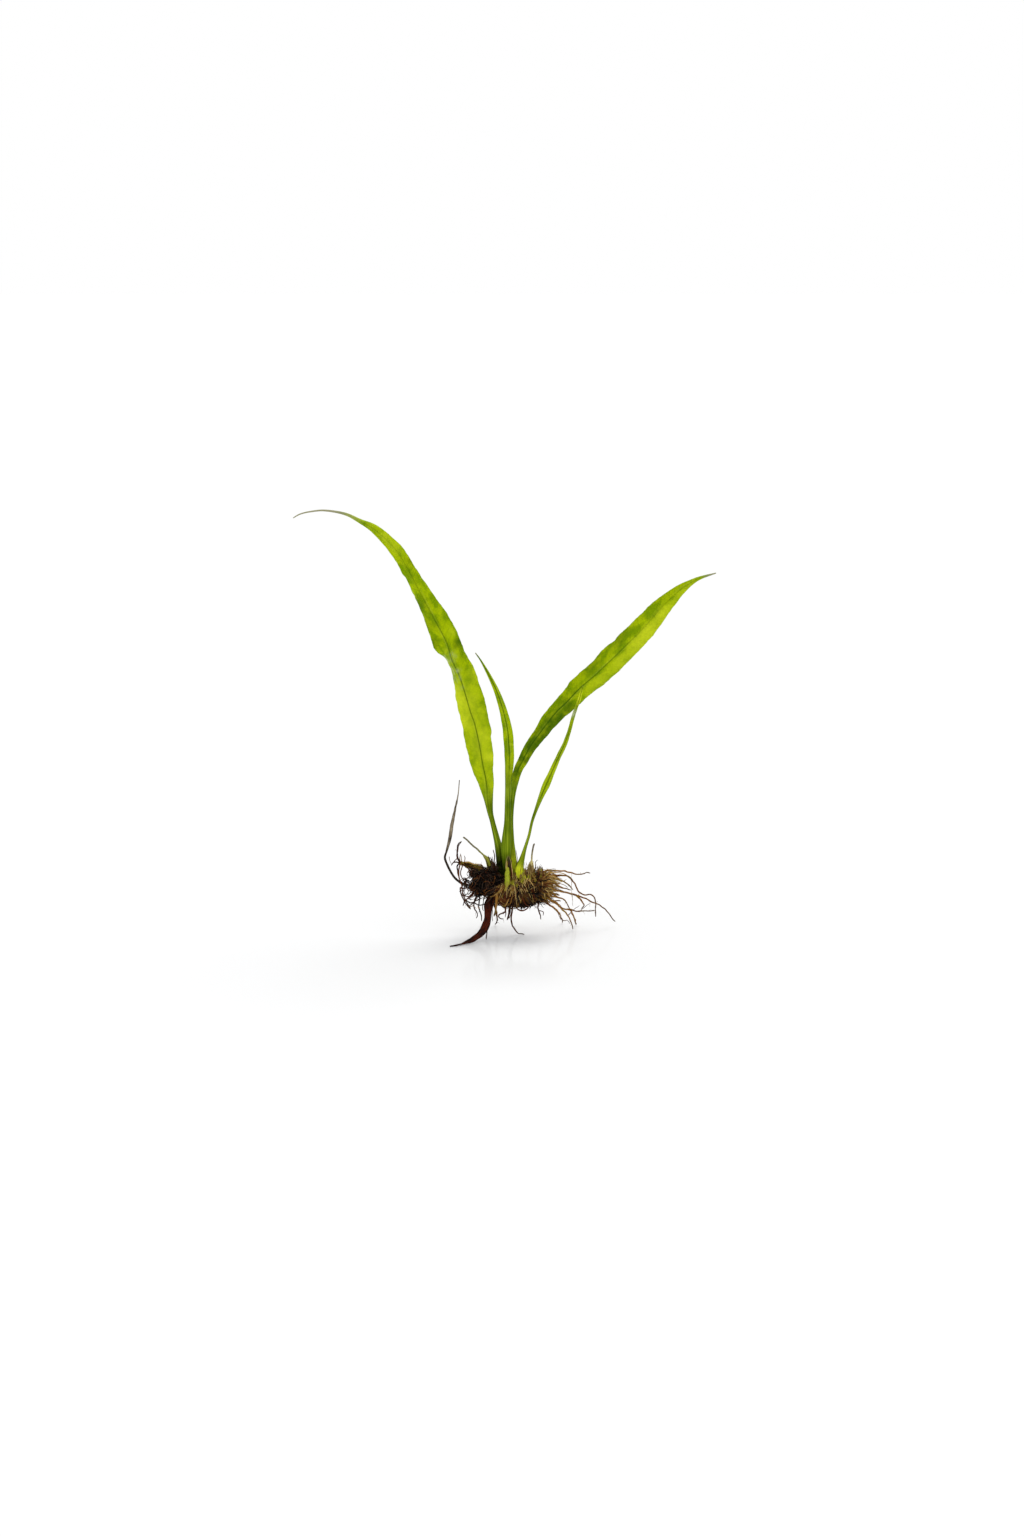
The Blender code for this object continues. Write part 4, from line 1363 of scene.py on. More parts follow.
ROOTS_RIGHT = [
    [(13.1, 1.8, 21.3), (14.6, 2.4, 22.6), (17.8, 3.0, 22.6), (21.7, 3.8, 22.1), (24.9, 4.6, 21.2),
     (26.7, 5.1, 20.8), (28.1, 5.5, 21.0), (29.1, 5.9, 21.4), (30.4, 6.3, 20.9)],
    [(13.6, -1.6, 20.8), (15.4, -2.0, 22.0), (18.4, -1.6, 21.8), (21.6, -2.4, 21.9),
     (23.0, -2.9, 21.2), (24.4, -3.5, 19.7), (25.3, -4.0, 17.8), (26.0, -4.4, 16.5),
     (28.2, -5.0, 15.5), (30.0, -5.4, 15.8), (31.4, -5.8, 15.0), (31.9, -6.1, 13.2),
     (31.9, -6.3, 10.8), (31.9, -6.4, 8.1)],
    [(14.4, 2.7, 19.1), (15.9, 3.2, 19.8), (18.2, 3.2, 19.5), (20.3, 4.4, 18.7), (21.7, 5.4, 17.6),
     (23.2, 6.3, 16.4), (24.4, 7.2, 14.7)],
    [(14.1, -3.5, 18.8), (15.7, -3.9, 19.3), (17.7, -3.6, 19.2), (20.2, -5.2, 18.2),
     (21.9, -6.4, 18.0), (23.3, -7.4, 17.7)],
    [(15.2, 1.0, 16.2), (18.1, 1.2, 15.8), (20.6, 2.2, 15.1), (23.1, 3.4, 14.3), (25.6, 4.6, 13.3),
     (29.2, 6.4, 11.6), (31.0, 7.4, 10.3), (33.2, 8.6, 9.2), (35.0, 9.6, 7.8), (36.4, 10.6, 6.4),
     (37.5, 11.6, 4.5), (38.6, 12.5, 2.8), (39.5, 13.2, 1.8)],
    [(25.4, 4.6, 13.3), (26.6, 4.6, 12.1), (27.7, 4.0, 10.7), (28.0, 3.8, 9.8), (27.2, 3.6, 8.6)],
    [(14.3, -3.5, 16.4), (15.5, -4.5, 16.2), (17.0, -5.0, 16.1), (19.4, -7.0, 15.8)],
    [(15.2, -1.6, 16.1), (16.9, -2.2, 15.4), (18.1, -2.6, 14.6), (19.8, -3.6, 14.0),
     (21.1, -4.2, 13.5), (21.9, -4.8, 12.4), (22.8, -5.4, 10.9)],
    [(14.5, 2.4, 14.4), (16.4, 3.2, 12.1), (18.2, 4.2, 10.7), (19.6, 5.0, 9.1), (21.4, 5.8, 8.1),
     (23.5, 6.4, 7.8), (25.0, 6.8, 7.2), (27.5, 7.4, 7.1), (30.3, 7.8, 7.0), (32.1, 8.0, 7.1)],
    [(14.4, -2.4, 14.6), (15.5, -3.2, 13.7), (17.0, -3.4, 13.3), (19.8, -5.0, 13.4)],
    [(12.5, 2.4, 13.5), (13.8, 3.5, 11.8), (16.4, 5.0, 9.4), (18.2, 8.5, 7.5), (19.6, 13.0, 4.7),
     (20.5, 17.0, 2.0), (20.7, 19.2, 0.2)],
    [(14.6, 0.0, 13.7), (16.7, -0.2, 12.4), (18.8, 0.2, 10.8), (20.6, 1.4, 8.7), (22.1, 2.8, 6.8),
     (23.2, 4.6, 4.4), (24.1, 6.6, 1.8), (24.3, 7.9, 0.2)],
    [(22.6, 6.3, 7.9), (23.6, 7.4, 7.2), (24.4, 9.4, 4.8), (25.1, 12.0, 2.8), (25.5, 15.6, 0.2)],
]
ROOTS_UNDER = [
    [(-3.9, 1.3, 14.6), (-4.0, 2.4, 12.0), (-3.0, 4.6, 7.7), (-2.7, 8.6, 4.6), (-2.8, 12.2, 2.4),
     (-3.5, 15.6, 0.2)],
    [(0.0, -0.8, 11.6), (0.3, -1.2, 8.9), (-0.4, -1.4, 8.3), (-1.6, -1.6, 7.9), (-2.1, -1.8, 7.1),
     (-1.4, -2.0, 6.3), (-0.2, -2.2, 6.3)],
    [(2.0, 1.6, 11.2), (1.9, 1.8, 8.1), (1.5, 2.2, 6.6), (1.3, 2.5, 5.6), (0.9, 2.8, 4.7)],
    [(2.9, -0.7, 11.0), (2.6, -0.8, 8.8), (2.3, -0.6, 6.6), (2.7, -0.4, 3.7), (3.8, -0.2, 2.0),
     (4.9, 0.0, 0.7), (6.9, 0.4, 0.2)],
    [(11.5, 1.1, 14.2), (11.9, 1.7, 10.9), (11.8, 2.0, 9.3), (12.3, 2.6, 7.6), (12.6, 3.0, 6.2),
     (12.9, 3.4, 4.9)],
    [(-4.8, 0.5, 15.0), (-5.0, 0.0, 12.0), (-5.1, -0.4, 9.1), (-5.8, -2.4, 6.7), (-6.2, -5.0, 4.4),
     (-6.3, -7.0, 2.3), (-6.3, -8.3, 0.2)],
    [(-4.0, 2.2, 15.6), (-4.4, 4.4, 12.4), (-4.8, 7.0, 7.9), (-6.1, 11.2, 4.8), (-7.0, 14.8, 2.1),
     (-7.4, 17.4, 0.2)],
]
ROOTS_BACK = [
    [(12.3, 4.2, 18.5), (11.2, 6.2, 19.0), (9.4, 8.5, 19.1), (11.9, 13.0, 17.1),
     (13.0, 17.0, 14.1), (12.3, 19.4, 11.0)],
    [(7.3, 5.0, 15.8), (7.1, 6.9, 15.9), (6.9, 8.6, 16.6), (8.3, 13.0, 13.8), (8.0, 16.5, 10.5),
     (9.1, 18.6, 7.9)],
    [(3.4, 4.8, 15.3), (3.1, 6.8, 15.5), (2.6, 8.8, 16.2), (1.6, 13.4, 13.0), (2.3, 16.8, 9.4),
     (3.7, 18.4, 6.8)],
    [(-0.2, 3.7, 15.8), (-0.8, 5.8, 16.0), (-1.3, 8.4, 16.3), (-3.4, 13.0, 13.8),
     (-5.6, 16.0, 11.7), (-6.3, 17.6, 9.2)],
    [(-3.9, 1.9, 19.3), (-4.8, 3.8, 19.8), (-6.6, 6.4, 19.9), (-9.1, 10.4, 18.0),
     (-10.6, 13.6, 14.8), (-9.5, 15.4, 11.9)],
]
ROOTS_LEFT = [
    [(-12.9, -4.1, 17.9), (-14.6, -3.6, 17.6), (-15.6, -2.6, 17.5), (-15.0, -2.7, 14.7),
     (-13.9, -2.8, 12.5), (-13.2, -2.9, 11.1), (-12.1, -3.0, 9.9)],
    [(-15.7, 1.0, 25.9), (-16.5, 0.4, 25.2), (-16.7, -0.4, 24.3), (-16.5, -0.8, 22.5),
     (-15.9, -1.2, 20.9)],
    [(-10.9, -4.8, 16.6), (-12.3, -5.2, 14.8), (-13.2, -5.0, 14.0), (-13.9, -4.8, 12.8),
     (-12.6, -4.4, 11.6), (-10.8, -4.2, 12.4)],
    [(-15.6, 0.9, 25.8), (-16.2, 0.9, 27.0), (-16.6, 1.0, 28.3), (-16.6, 0.9, 30.4),
     (-16.4, 0.8, 32.2), (-15.3, 0.6, 33.6)],
    [(-15.8, 1.0, 25.8), (-16.7, 0.2, 26.2), (-18.0, -0.4, 26.2), (-18.7, -0.4, 25.0)],
    [(-8.4, -4.1, 16.8), (-8.9, -3.6, 13.0), (-9.2, -2.6, 10.8), (-8.5, -2.8, 9.1),
     (-8.1, -3.0, 7.3), (-7.9, -3.2, 5.6)],
    [(-9.2, -2.4, 16.8), (-10.4, -0.8, 12.6), (-10.8, 0.2, 9.9), (-10.0, 0.4, 8.5),
     (-9.6, 0.4, 7.0), (-9.9, 0.2, 6.0)],
]

# Finer roots and fibres: width at the foot and at the tip, hue, then the way
FINE_LEFT = [
    (0.45, 0.3, 0.2, [
        (-15.6, 0.2, 25.8), (-16.7, -1.2, 28.3), (-16.5, -1.4, 30.5), (-16.1, -1.6, 32.5),
        (-15.0, -1.8, 34.1)]),
    (0.4, 0.25, 0.2, [(-16.5, -1.2, 28.0), (-17.5, -1.8, 27.2), (-18.6, -2.4, 25.8)]),
    (0.22, 0.15, 0.3, [(-19.4, -2.2, 28.7), (-19.1, -2.4, 27.2), (-18.6, -2.4, 25.8)]),
    (0.35, 0.2, 0.5, [(-15.4, 0.9, 25.6), (-15.7, -0.4, 27.8), (-15.2, -0.8, 29.5)]),
    (0.3, 0.15, 0.6, [(-15.0, 1.0, 25.6), (-15.3, 0.8, 27.8), (-15.6, 1.0, 29.0)]),
    (0.4, 0.2, 0.5, [(-14.3, 0.8, 25.3), (-13.9, -0.6, 27.7), (-14.2, -0.8, 28.8)]),
    (0.5, 0.3, 0.8, [
        (-13.7, 0.4, 26.0), (-12.5, -0.2, 26.3), (-10.7, -0.6, 25.6), (-8.6, -0.8, 25.6),
        (-7.2, -1.0, 24.7)]),
    (0.5, 0.4, 0.3, [
        (-15.4, 0.4, 26.2), (-16.1, -2.4, 24.0), (-15.9, -3.2, 21.6), (-15.1, -3.4, 19.1),
        (-14.7, -3.6, 16.3), (-13.5, -3.8, 13.1), (-12.0, -4.0, 10.3)]),
    (0.4, 0.35, 0.3, [
        (-14.6, 0.4, 25.4), (-15.4, -2.2, 23.6), (-15.2, -2.8, 21.9), (-14.4, -3.0, 20.7),
        (-13.2, -3.6, 21.2), (-11.8, -4.2, 22.4)]),
    (0.4, 0.35, 0.2, [
        (-14.4, 0.4, 25.2), (-13.7, -1.6, 24.8), (-12.4, -2.4, 24.1), (-11.4, -3.0, 22.2)]),
    (0.42, 0.35, 0.2, [
        (-15.0, -3.2, 19.2), (-13.4, -4.0, 19.3), (-12.0, -4.6, 18.5), (-11.3, -5.0, 17.2),
        (-11.0, -4.6, 15.5)]),
    (0.42, 0.35, 0.2, [
        (-14.8, -3.4, 16.2), (-13.7, -4.0, 14.8), (-12.1, -4.6, 14.9), (-10.4, -5.2, 15.8),
        (-8.8, -5.4, 15.2)]),
    (0.5, 0.4, 0.1, [
        (-13.6, -3.7, 13.4), (-11.8, -4.0, 12.5), (-10.3, -4.4, 13.2), (-9.5, -4.6, 15.2)]),
    (0.42, 0.35, 0.2, [
        (-14.8, -2.8, 20.5), (-13.3, -3.0, 19.6), (-11.9, -3.8, 20.1), (-10.9, -4.2, 21.7)]),
    (0.45, 0.35, 0.1, [
        (-11.0, -4.2, 12.8), (-8.5, -4.0, 11.6), (-6.2, -4.2, 12.6), (-4.5, -4.0, 14.6)]),
    (0.42, 0.35, 0.2, [(-9.9, -4.6, 14.4), (-7.9, -5.4, 15.5), (-5.4, -5.0, 16.4)]),
    (0.38, 0.22, 0.2, [(-7.0, -2.0, 15.1), (-7.8, -2.6, 11.0), (-7.4, -3.0, 9.2)]),
    (0.3, 0.18, 0.6, [(-12.7, -2.95, 10.7), (-10.9, -3.2, 11.3), (-9.9, -3.4, 10.3)]),
    (0.42, 0.3, 0.5, [(-9.3, -2.8, 10.9), (-8.2, -2.2, 8.1), (-7.9, -2.4, 5.7)]),
    (0.36, 0.3, 0.1, [(-13.9, -3.7, 14.0), (-14.3, -3.1, 12.2), (-14.7, -3.2, 11.2)]),
]
FINE_CROWN = [
    (0.6, 0.3, 0.1, [
        (-3.0, -1.6, 20.0), (-3.3, -3.0, 24.1), (-3.6, -3.3, 27.0), (-3.5, -3.2, 29.3),
        (-4.0, -3.2, 31.5)]),
    (0.55, 0.25, 0.1, [
        (-3.6, -1.8, 20.0), (-3.9, -3.2, 24.9), (-4.4, -3.8, 27.4), (-4.9, -3.9, 29.0)]),
    (0.3, 0.14, 0.2, [(3.8, -3.0, 19.8), (4.2, -3.4, 25.7), (4.4, -3.4, 28.5), (4.0, -3.2, 31.3)]),
    (0.6, 0.3, 0.2, [(1.1, -3.0, 19.8), (1.2, -3.5, 23.0), (1.3, -3.2, 26.4), (1.5, -3.1, 28.9)]),
    (0.6, 0.3, 0.12, [(1.7, -3.0, 19.8), (1.8, -3.6, 22.8), (1.7, -3.2, 26.0), (1.9, -3.0, 28.2)]),
    (0.6, 0.3, 0.25, [(2.3, -3.0, 19.8), (2.4, -3.5, 22.6), (2.3, -3.0, 25.4), (2.5, -2.4, 27.4)]),
    (0.26, 0.2, 1.0, [(0.5, -3.4, 21.6), (0.5, -3.4, 24.4), (0.7, -3.2, 27.4), (1.3, -3.5, 29.4)]),
    (0.26, 0.2, 0.9, [
        (2.9, -3.0, 19.4), (2.9, -3.4, 21.4), (2.7, -3.4, 24.2), (2.2, -3.3, 27.0),
        (1.5, -3.5, 29.4)]),
    (0.22, 0.1, 0.5, [(5.4, -3.4, 20.2), (5.4, -4.6, 23.0), (5.8, -4.7, 25.0), (6.3, -4.6, 26.6)]),
    (0.24, 0.1, 0.5, [(7.0, -3.2, 20.2), (7.0, -4.0, 22.6), (7.4, -4.3, 24.5), (8.0, -4.4, 26.0)]),
    (0.32, 0.2, 0.2, [
        (10.6, -1.0, 21.0), (10.9, -1.6, 24.0), (10.9, -1.6, 26.4), (11.9, -1.8, 27.4)]),
    (0.45, 0.25, 0.3, [(11.9, -2.6, 21.0), (11.9, -3.2, 22.8), (11.7, -3.4, 25.7)]),
    (0.7, 0.4, 0.35, [(13.6, -2.4, 19.8), (13.7, -3.2, 22.4), (13.2, -3.4, 25.1)]),
]
FINE_RIGHT = [
    (0.4, 0.25, 0.8, [
        (13.0, -3.0, 20.6), (15.6, -4.2, 23.2), (18.0, -4.8, 23.5), (20.5, -5.2, 23.3),
        (22.9, -5.6, 22.1), (24.0, -5.8, 20.7)]),
    (0.38, 0.2, 0.7, [
        (13.4, -3.6, 19.8), (16.3, -5.0, 22.0), (19.1, -6.0, 21.5), (21.2, -6.6, 20.5),
        (22.9, -7.0, 19.0)]),
    (0.38, 0.2, 0.6, [
        (13.2, -4.0, 18.8), (15.9, -5.6, 20.7), (18.4, -6.6, 20.0), (20.5, -7.4, 19.8),
        (22.2, -8.0, 18.7)]),
    (0.42, 0.25, 0.6, [
        (13.2, -4.2, 17.6), (15.6, -5.8, 18.6), (18.0, -6.8, 17.5), (20.5, -7.6, 17.2),
        (22.9, -8.2, 16.7), (25.0, -8.6, 15.9)]),
    (0.32, 0.15, 0.3, [
        (25.0, 6.8, 7.2), (26.6, 4.4, 7.6), (27.9, 2.0, 9.3), (29.0, 1.6, 10.3),
        (30.1, 1.2, 11.1)]),
    (0.3, 0.15, 0.3, [(22.5, 3.1, 6.5), (24.8, 0.0, 9.5), (25.7, -0.4, 10.2), (26.4, -0.8, 11.0)]),
    (0.36, 0.18, 0.5, [
        (13.2, -3.4, 15.0), (15.3, -4.0, 14.2), (17.7, -5.0, 13.0), (19.6, -5.6, 11.9),
        (20.3, -5.8, 10.5)]),
    (0.34, 0.15, 0.4, [
        (22.6, -5.3, 11.2), (23.4, -5.4, 9.5), (24.2, -5.6, 7.8), (25.0, -5.8, 4.8)]),
    (0.3, 0.18, 0.3, [(19.6, -4.6, 7.2), (20.9, -3.4, 5.9), (22.1, -2.6, 5.9), (23.1, -2.8, 4.6)]),
    (0.16, 0.1, 0.6, [
        (23.6, -3.15, 20.6), (23.6, -3.0, 15.4), (23.8, -3.0, 13.3), (24.0, -3.0, 11.0)]),
    (0.4, 0.22, 0.5, [
        (12.6, -4.0, 15.6), (14.9, -5.0, 16.2), (17.3, -6.2, 15.2), (19.8, -7.0, 14.9),
        (21.5, -7.6, 13.6), (22.7, -8.0, 11.5)]),
    (0.4, 0.24, 0.4, [
        (12.6, -2.4, 13.4), (14.6, -3.0, 12.2), (17.0, -3.6, 10.7), (18.8, -4.2, 8.8),
        (19.6, -4.6, 7.2), (19.8, -4.8, 6.5)]),
]
FINE_UNDER = [
    (0.42, 0.28, 0.2, [(0.6, -2.4, 12.2), (0.5, -3.8, 9.2), (0.2, -4.2, 7.3)]),
    (0.42, 0.28, 0.2, [(2.0, -2.4, 11.6), (1.4, -3.8, 8.8), (0.9, -4.0, 6.5)]),
    (0.36, 0.22, 0.3, [(2.9, -1.6, 11.2), (2.2, -2.6, 8.2), (1.6, -2.8, 6.6)]),
    (0.36, 0.25, 0.2, [(12.0, 2.2, 8.4), (13.7, 2.6, 7.8), (13.5, 2.4, 6.5)]),
    (0.6, 0.4, 0.3, [
        (4.2, -2.6, 12.2), (4.2, -3.4, 10.6), (5.8, -3.8, 9.7), (7.9, -3.6, 10.4),
        (9.0, -3.0, 11.6), (10.7, -2.4, 12.9)]),
    (0.4, 0.22, 0.2, [
        (-3.4, -2.6, 15.0), (-4.2, -4.2, 11.0), (-4.3, -4.6, 8.4), (-4.1, -5.0, 6.1)]),
    (1.3, 0.5, 0.62, [
        (-2.4, -3.0, 16.4), (-2.9, -4.6, 12.6), (-3.2, -5.2, 10.2), (-3.6, -5.4, 7.9)]),
    (0.34, 0.18, 0.5, [(-3.1, -5.1, 10.8), (-2.5, -5.4, 8.4), (-2.4, -5.6, 6.3)]),
]


@dataclass
class Roots:
    """The wiry roots, the finer ones among them, and the fibres around their feet."""

    rhizome: Rhizome
    wander: float = 0.22
    tip_width: float = 0.34
    hair_spacing: float = 5.5
    ground: float = 0.15

    def build(self, finish: Material) -> list[Piece]:
        """All roots, in a piece for each side.

        Args:
            finish: their material.

        Returns:
            The pieces.
        """
        groups = (
            ("right", ROOTS_RIGHT, FINE_RIGHT, 0.52, 0.74),
            ("under", ROOTS_UNDER, FINE_UNDER, 0.2, 0.74),
            ("left", ROOTS_LEFT, FINE_LEFT, 0.15, 0.6),
            ("back", ROOTS_BACK, FINE_CROWN, 0.4, 0.74),
        )
        rng = random.Random(11)
        return [self.build_group(rng, finish, *group) for group in groups]

    def build_group(self, rng: random.Random, finish: Material, side: str,
                    main: list[list[Row]], fine: list[FineRoot], hue: float,
                    width: float) -> Piece:
        """Roots of one side, with the hairs on them, as one piece.

        Args:
            rng: where chance comes from.
            finish: their material.
            side: name of the side.
            main: the ways of the frame's roots.
            fine: the finer roots.
            hue: usual hue of the main roots.
            width: their width at the foot.

        Returns:
            The piece.
        """
        skin = Skin("hue", "tip")
        for points in main:
            shade = hue + rng.uniform(-0.12, 0.12)
            skin.strand(points, (width, self.tip_width), sides=10, step=0.35,
                        wander=self.wander, hue=shade)
            self.add_hairs(skin, rng, points, shade)
        for start, end, shade, points in fine:
            skin.strand(points, (start, end), sides=8, step=0.35, wander=self.wander, hue=shade)
        nodes = [f"root_{side}_{number:02d}" for number in range(1, len(main) + 1)]
        return skin.piece(f"roots_{side}", finish, Slot.ROOT, *nodes)

    def add_hairs(self, skin: Skin, rng: random.Random, points: list[Row], hue: float) -> None:
        """Add short side rootlets along a root.

        Args:
            skin: the mesh that they join.
            rng: where chance comes from.
            points: the root's way.
            hue: the root's hue.
        """
        path = Path(points)
        for _ in range(round(path.length / self.hair_spacing)):
            place = path.place_at(rng.uniform(0.15, 0.95) * path.length)
            start, along = path.point(place), path.direction(place)
            away = random_way(rng)
            away = (away - along * away.dot(along)).normalized()
            way = (away + along * rng.uniform(0.2, 0.9)).normalized()
            length = rng.uniform(0.6, 2.0)
            drop = Vector((0, 0, -0.35)) * length
            rows = [start, start + way * 0.5 * length, start + way * length + drop]
            if min(row.z for row in rows) > self.ground:
                skin.strand(rows, (rng.uniform(0.1, 0.16), 0.06), sides=5, step=0.3,
                            wander=0.3, hue=hue)


@dataclass(frozen=True)
class Spray:
    """Fibres of one kind on one zone of the rhizome, with the range of each draw.

    Places holds the lowest, highest and commonest place along the rhizome, angles the middle
    and spread of the angle, and sideways, way_y and way_z say where they grow to.
    """

    count: int
    places: Row
    angles: Span
    sideways: Span
    way_y: float
    way_z: float
    lengths: Span
    widths: Span
    hues: Span
    drop: float


@dataclass(frozen=True)
class Tuft:
    """Upright fibres between the feet of the leaves, with the range of each draw.

    Foot holds x, y and z, spread how far x and y vary, and heights the lowest, highest and
    commonest height.
    """

    count: int
    foot: Row
    spread: Span
    lean: Span
    heights: Row
    widths: Span
    tip_width: float
    wander: float
    hue: Callable[[random.Random], float]


@dataclass
class Fibres:
    """Bundles of fine fibres that grow out of the rhizome, thickest at its growing end."""

    rhizome: Rhizome
    sprays: tuple[Spray, ...] = (
        Spray(230, (5.8, 10.2, 7.2), (44, 16), (-0.5, 0.9), -0.5, -0.6, (0.8, 2.6),
              (0.16, 0.34), (0.7, 1.3), 0.2),
        Spray(170, (6.4, 9.8, 8.2), (24, 13), (-0.4, 0.4), -0.25, 0.9, (1.0, 3.2),
              (0.18, 0.36), (0.5, 1.2), 0.1),
    )
    tufts: tuple[Tuft, ...] = (
        Tuft(40, (9.1, -0.5, 20.8), (0.6, 0.6), (-0.2, 0.3), (2.5, 6.5, 4.0), (0.2, 0.4),
             0.14, 0.4, lambda rng: rng.uniform(0.8, 1.3)),
        Tuft(60, (-3.4, -1.4, 20.5), (0.5, 0.9), (-0.35, 0.12), (2.5, 9.5, 4.5), (0.3, 0.7),
             0.2, 0.8, lambda rng: rng.choice((0.0, 0.05, 0.1, 0.3))),
    )
    end_count: int = 190
    top_count: int = 200
    fuzz_count: int = 300
    foot_depth: float = 0.8
    parts: int = 4

    def build(self, finish: Material) -> list[Piece]:
        """All bundles.

        Args:
            finish: their material.

        Returns:
            The pieces.
        """
        return [self.build_end(finish), self.build_fringe(finish), self.build_fuzz(finish)]

    def grow(self, skin: Skin, rng: random.Random, place: float, angle: float, way: Vector,
             length: float, width: float, hue: float, drop: float) -> None:
        """Add one fibre.

        Args:
            skin: the mesh that it joins.
            rng: where chance comes from.
            place: place of its foot along the rhizome.
            angle: angle of its foot.
            way: direction that it grows to.
            length: its length.
            width: its width at the foot.
            hue: its hue.
            drop: how far its end hangs down, as a share of its length.
        """
        foot, out = self.rhizome.skin(place, angle), self.rhizome.normal(place, angle)
        way = way.normalized()
        rows = [foot - out * self.foot_depth]
        point = foot + out * 0.1
        for step in range(1, self.parts + 1):
            sink = Vector((0, 0, -drop)) * (step / self.parts)
            point = point + (way + random_way(rng, 0.3) + sink) * length / self.parts
            rows.append(point)
        skin.strand(rows, (width, width * 0.45), sides=5, step=0.5, wander=0.4, hue=hue)

    def build_end(self, finish: Material) -> Piece:
        """Golden fibres around the growing end, which sweep out to the right.

        Args:
            finish: their material.

        Returns:
            The piece.
        """
        rng = random.Random(23)
        skin = Skin("hue", "tip")
        for _ in range(self.end_count):
            place = min(rng.triangular(7.8, 12.8, 11.4), 12.8)
            angle = rng.uniform(-180, 180)
            out = self.rhizome.normal(place, angle)
            way = Vector((rng.uniform(0.8, 1.6), 0, 0)) + out * rng.uniform(0.2, 0.8)
            length = rng.triangular(1.5, 7.0, 2.6) * (0.6 if abs(angle) > 120 else 1.0)
            hue = self.rhizome.hue_at(rng, place, angle)
            self.grow(skin, rng, place, angle, way, length, rng.uniform(0.24, 0.52), hue, 0.35)
        return skin.piece("fibres_right", finish, Slot.ROOT)

    def build_fringe(self, finish: Material) -> Piece:
        """Straw-coloured fibres below the leaves, and dark ones between their feet.

        Args:
            finish: their material.

        Returns:
            The piece.
        """
        rng = random.Random(29)
        skin = Skin("hue", "tip")
        for spray in self.sprays:
            for _ in range(spray.count):
                place, angle = rng.triangular(*spray.places), rng.gauss(*spray.angles)
                way = Vector((rng.uniform(*spray.sideways), spray.way_y, spray.way_z))
                self.grow(skin, rng, place, angle, way, rng.uniform(*spray.lengths),
                          rng.uniform(*spray.widths), rng.uniform(*spray.hues), spray.drop)
        for tuft in self.tufts:
            x, y, z = tuft.foot
            for _ in range(tuft.count):
                foot = Vector((rng.gauss(x, tuft.spread[0]), rng.gauss(y, tuft.spread[1]), z))
                lean = Vector((rng.uniform(*tuft.lean), rng.uniform(-0.2, 0.1), 1.0))
                high = rng.triangular(*tuft.heights)
                rows = [foot, foot + lean * high * 0.5, foot + lean * high]
                skin.strand(rows, (rng.uniform(*tuft.widths), tuft.tip_width), sides=6,
                            step=0.5, wander=tuft.wander, hue=tuft.hue(rng))
        for _ in range(self.top_count):
            place, angle = rng.uniform(4.4, 12.0), rng.gauss(0, 30)
            out = self.rhizome.normal(place, angle)
            way = out + Vector((rng.uniform(-0.9, 0.9), rng.uniform(-0.6, 0.6), 0.2))
            self.grow(skin, rng, place, angle, way, rng.uniform(0.8, 3.0),
                      rng.uniform(0.22, 0.45), rng.choice((0.1, 0.25, 0.5, 0.75, 1.0)), 0.1)
        return skin.piece("fibres_crown", finish, Slot.ROOT)

    def build_fuzz(self, finish: Material) -> Piece:
        """Short fuzz all over the rhizome, a little longer underneath.

        Args:
            finish: its material.

        Returns:
            The piece.
        """
        rng = random.Random(31)
        skin = Skin("hue", "tip")
        for _ in range(self.fuzz_count):
            place, angle = rng.uniform(1.0, 12.9), rng.uniform(-180, 180)
            way = self.rhizome.normal(place, angle) + random_way(rng, 0.5)
            longer = 1.3 if abs(angle) > 110 else 1.0
            self.grow(skin, rng, place, angle, way, rng.uniform(0.9, 1.6) * longer,
                      rng.uniform(0.1, 0.2), rng.choice((0.1, 0.3, 0.5, 0.7)), 0.3)
        return skin.piece("fibres_all_round", finish, Slot.ROOT)


# Root mat


